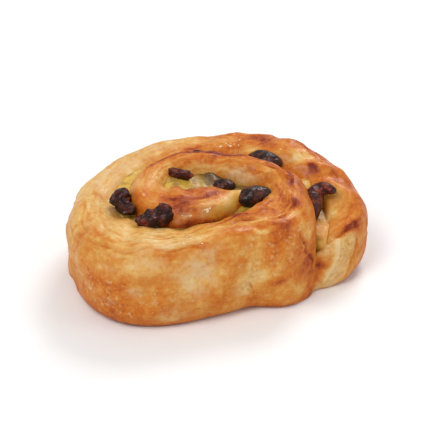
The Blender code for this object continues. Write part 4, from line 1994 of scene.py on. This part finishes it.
@dataclass
class RaisinMaker:
    """Makes raisins with one Geometry Nodes tree that melts two balls together and crumples them.

    Attributes:
        shape: The strip, for the roll's centre.
        melting_step: How finely the balls are melted together.
        melting_depth: How far in from their surface.
        skin_step: How finely the skin is drawn round them.
        folds: Each set of folds: how close they are, and its share of the wrinkling.
        sharpness: How narrow the folds are.
        finishes: The material of each kind of raisin.
        tree: The tree.
    """

    shape: StripShape
    melting_step: float = 0.25
    melting_depth: float = 0.8
    skin_step: float = 0.28
    folds: tuple[tuple[float, float], ...] = ((0.5, 0.55), (1.0, 0.33), (2.2, 0.12))
    sharpness: float = 6.0
    finishes: dict[RaisinTone, bpy.types.Material] = field(init=False)
    tree: GeometryTree = field(init=False)

    def __post_init__(self) -> None:
        """Builds the tree and the finishes."""
        self.finishes = {tone: RaisinFinish(tone).build() for tone in RaisinTone}
        self.tree = self._tree()

    def _tree(self) -> GeometryTree:
        """Builds the tree: two stretched balls as one skin, drawn in along folds.

        Returns:
            The tree.
        """
        made = GeometryTree(
            "raisin_shape",
            (
                ("Geometry", "Geometry"),
                ("Size", "Vector"),
                ("Lobe Place", "Vector"),
                ("Lobe Size", "Vector"),
                ("Lobe Heading", "Float"),
                ("Wrinkling", "Float"),
                ("Crease Spacing", "Float"),
                ("Seed", "Float"),
                ("Material", "Material"),
            ),
        )
        ball = made.node("GeometryNodeMeshIcoSphere", {"Radius": 1.0, "Subdivisions": 5}).outputs["Mesh"]
        body = made.node("GeometryNodeTransform", {"Geometry": ball, "Scale": made.given["Size"]})
        heading = made.node("ShaderNodeCombineXYZ", {"Z": made.given["Lobe Heading"]}).outputs["Vector"]
        lobe = made.node(
            "GeometryNodeTransform",
            {
                "Geometry": ball,
                "Translation": made.given["Lobe Place"],
                "Rotation": heading,
                "Scale": made.given["Lobe Size"],
            },
        )
        both = made.node("GeometryNodeJoinGeometry")
        for part in (body, lobe):
            made.tree.links.new(part.outputs["Geometry"], both.inputs["Geometry"])
        volume = made.node(
            "GeometryNodeMeshToVolume",
            {
                "Mesh": both.outputs["Geometry"],
                "Voxel Size": self.melting_step * MM,
                "Interior Band Width": self.melting_depth * MM,
            },
            resolution_mode="VOXEL_SIZE",
        ).outputs["Volume"]
        inputs = {"Volume": volume, "Voxel Size": self.skin_step * MM, "Threshold": 0.1}
        skin = made.node("GeometryNodeVolumeToMesh", inputs, resolution_mode="VOXEL_SIZE")
        drawn = None
        for closeness, share in self.folds:
            part = made.product(self._fold(made, closeness), share)
            drawn = part if drawn is None else made.math("ADD", drawn, part)
        inward = made.product(made.product(drawn, made.given["Wrinkling"]), -1.0)
        normal = made.node("GeometryNodeInputNormal").outputs["Normal"]
        inputs = {"Geometry": skin.outputs["Mesh"], "Offset": made.scaled(normal, inward)}
        folded = made.node("GeometryNodeSetPosition", inputs).outputs["Geometry"]
        made.finish(made.smoothed(folded))
        return made

    def _fold(self, made: GeometryTree, closeness: float) -> Socket:
        """One set of folds.

        Args:
            made: The tree under construction.
            closeness: How close the folds are, 1 being the raisin's own crease spacing.

        Returns:
            1 in the folds and 0 between them.
        """
        density = made.math("DIVIDE", 1.0, made.given["Crease Spacing"])
        noise = made.node(
            "ShaderNodeTexNoise",
            {
                "Vector": made.node("GeometryNodeInputPosition").outputs["Position"],
                "W": made.given["Seed"],
                "Scale": made.product(density, closeness),
                "Detail": 1.0,
                "Roughness": 0.4,
            },
            noise_dimensions="4D",
        ).outputs["Fac"]
        off_middle = made.math("SUBTRACT", made.product(noise, self.sharpness), 0.5 * self.sharpness)
        return made.math("SUBTRACT", 1.0, made.math("MINIMUM", made.math("ABSOLUTE", off_middle), 1.0))

    def build(self, raisin: Raisin) -> bpy.types.Object:
        """Makes one raisin.

        Args:
            raisin: Its sizes and how it lies.

        Returns:
            The raisin's object.
        """
        lobe = raisin.lobe
        values = {
            "Size": [0.5 * size * MM for size in raisin.size],
            "Lobe Place": [side * MM for side in lobe.place],
            "Lobe Size": [0.5 * size * MM for size in lobe.size],
            "Lobe Heading": math.radians(lobe.heading),
            "Wrinkling": raisin.wrinkling * MM,
            "Crease Spacing": raisin.crease_spacing * MM,
            "Seed": raisin.seed,
            "Material": self.finishes[raisin.tone],
        }
        mesh = self.tree.apply(f"{raisin.node}_skin", bpy.data.meshes.new(raisin.node), values)
        mesh.transform(raisin.matrix(self.shape))
        made = object_of(f"{raisin.node}_skin", mesh)
        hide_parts(raisin.node)
        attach(made, BODY)
        return made


RAISINS = (
    Raisin(
        "raisin_left", 191.0, 33.8, 31.4, (10.6, 9.0, 10.8), 250.0, 14.0, RaisinTone.BURNT, 2.3, 4.2, 1.3,
        Lobe((4.0, 4.2, -1.6), (6.4, 8.8, 6.4), 20.0),
    ),
    Raisin(
        "raisin_front_left", 220.5, 28.8, 30.6, (14.6, 9.6, 9.2), 12.0, 8.0, RaisinTone.BURNT, 2.3, 4.4, 4.1,
        Lobe((4.4, 0.8, 1.6), (8.4, 8.8, 9.8), 30.0),
    ),
    Raisin("raisin_back", 53.5, 28.9, 30.9, (15.2, 9.0, 9.0), 146.0, -8.0, RaisinTone.PLUMP, 0.6, 3.6, 2.2),
    Raisin(
        "raisin_inner_right", 344.0, 13.6, 31.4, (14.0, 9.0, 8.2), 12.0, 0.0, RaisinTone.PLUMP, 0.8, 3.2, 7.7
    ),
    Raisin(
        "raisin_right", 0.5, 33.8, 26.4, (17.0, 8.4, 10.4), 74.0, 28.0, RaisinTone.AMBER, 0.9, 5.0, 5.4,
        Lobe((5.8, -3.8, 1.8), (5.4, 9.0, 5.2), -8.0),
    ),
    Raisin(
        "raisin_inner_left", 142.8, 19.2, 32.2, (16.6, 6.2, 6.0), 157.0, -5.0, RaisinTone.AMBER, 1.2, 3.4,
        9.1, Lobe((5.4, 0.8, 0.6), (8.0, 6.4, 6.2), 24.0),
    ),
    Raisin("raisin_centre", 74.0, 8.8, 28.8, (10.2, 7.0, 6.8), 168.0, -10.0, RaisinTone.PLUMP, 0.9, 3.0, 3.3),
    Raisin("raisin_far_side", 104.0, 27.6, 31.0, (8.6, 5.4, 7.0), 10.0, 0.0, RaisinTone.BURNT, 1.2, 3.2, 6.6),
)


@dataclass(frozen=True)
class PhotoCamera:
    """The photograph's view of the pastry's front, from above.

    Attributes:
        elevation: How steeply it looks down, in degrees.
        distance: How far the lens is from what it is aimed at.
        mm_per_pixel: How large a pixel is there.
        frame_width: The photograph's width in pixels.
        frame_height: Its height in pixels.
        sensor: The sensor's width.
        aim_pixel: The pixel in which the aimed place shows.
        aim_behind_centre: How far behind the roll's centre that place is, on the table.
    """

    elevation: float = 30.0
    distance: float = 550.0
    mm_per_pixel: float = 0.366
    frame_width: int = 434
    frame_height: int = 430
    sensor: float = 36.0
    aim_pixel: tuple[float, float] = (217.0, 256.0)
    aim_behind_centre: float = 7.8

    def axes(self) -> tuple[Vector, Vector, Vector]:
        """The view's directions.

        Returns:
            Right, up and back.
        """
        raised = math.radians(self.elevation)
        back = Vector((0.0, -math.cos(raised), math.sin(raised)))
        right = Vector((1.0, 0.0, 0.0))
        return right, back.cross(right), back

    def position(self, shape: StripShape) -> Vector:
        """Where the lens is.

        Args:
            shape: The strip, for the roll's centre.

        Returns:
            The place in millimetres.
        """
        right, up, back = self.axes()
        aim = Vector((shape.centre[0], shape.centre[1] + self.aim_behind_centre, 0.0))
        off_right = (0.5 * self.frame_width - self.aim_pixel[0]) * self.mm_per_pixel
        off_up = (self.aim_pixel[1] - 0.5 * self.frame_height) * self.mm_per_pixel
        return aim + back * self.distance + right * off_right + up * off_up

    def build(self, shape: StripShape) -> None:
        """Makes the camera and takes it into use.

        Args:
            shape: The strip, for the roll's centre.
        """
        lens = bpy.data.cameras.new("photo_camera")
        lens.sensor_width = self.sensor
        lens.lens = self.sensor * self.distance / (self.mm_per_pixel * self.frame_width)
        lens.clip_start = 0.01
        made = object_of("photo_camera", lens)
        placed = Matrix(self.axes()).transposed().to_4x4()
        placed.translation = self.position(shape) * MM
        made.matrix_world = placed
        bpy.context.scene.camera = made


@dataclass(frozen=True)
class Softbox:
    """A square white studio light, aimed at the pastry, in metres and watts."""

    name: str
    place: tuple[float, float, float]
    size: float
    power: float

    def build(self) -> None:
        """Makes the light."""
        lamp = bpy.data.lights.new(self.name, "AREA")
        lamp.shape = "SQUARE"
        lamp.size = self.size
        lamp.energy = self.power
        made = object_of(self.name, lamp)
        made.location = self.place
        made.rotation_euler = Vector(self.place).to_track_quat("Z", "Y").to_euler()


@dataclass(frozen=True)
class Studio:
    """The pale floor, the soft lights and the white surround, in metres."""

    floor_half: float = 1.2
    floor_colour: Colour = (0.93, 0.93, 0.93)
    surround: float = 0.5
    lights: tuple[Softbox, ...] = (
        Softbox("key_light", (-0.35, -0.45, 0.75), 0.45, 4.0),
        Softbox("window_light", (0.25, 0.55, 0.65), 0.35, 3.4),
        Softbox("side_light", (0.8, -0.2, 0.4), 0.4, 1.0),
    )

    def build(self) -> None:
        """Makes the surround, the floor and the lights."""
        corners = [(-1, -1), (1, -1), (1, 1), (-1, 1)]
        points = np.array([(x * self.floor_half, y * self.floor_half, 0.0) for x, y in corners]) / MM
        floor = make_object("studio_floor", points, [(0, 1, 2, 3)])
        shader = Shader("studio_floor")
        shader.set(Base_Color=self.floor_colour, Roughness=0.9)
        floor.data.materials.append(shader.material)
        world = bpy.data.worlds.new("studio")
        world.use_nodes = True
        backdrop = world.node_tree.nodes["Background"]
        backdrop.inputs["Color"].default_value = (1.0, 1.0, 1.0, 1.0)
        backdrop.inputs["Strength"].default_value = self.surround
        bpy.context.scene.world = world
        bpy.context.scene.view_settings.view_transform = "Standard"
        for light in self.lights:
            light.build()


def main() -> None:
    """Builds the pastry, the studio and the camera."""
    logging.basicConfig(level=logging.INFO, format="%(message)s")
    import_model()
    dough = DoughStrip()
    made = dough.build(DoughFinish())
    LOG.info("dough strip: %d faces", len(made.data.polygons))
    cream = CreamFilling().build(CreamFinish())
    LOG.info("cream: %d faces", len(cream.data.polygons))
    crumbs = CrustCrumbs().build(dough, CrumbFinish().build())
    # The glaze beads are near-white painted highlights for the glaze's sparkles.
    beads = PaintedGlintBeads().build(dough, PaintedGlintFinish().build())
    LOG.info("crumbs: %d faces, glaze beads: %d faces", len(crumbs.data.polygons), len(beads.data.polygons))
    maker = RaisinMaker(dough.shape)
    for raisin in RAISINS:
        skin = maker.build(raisin)
        LOG.info("%s: %d faces", skin.name, len(skin.data.polygons))
    Studio().build()
    PhotoCamera().build(dough.shape)


if __name__ == "__main__":
    main()
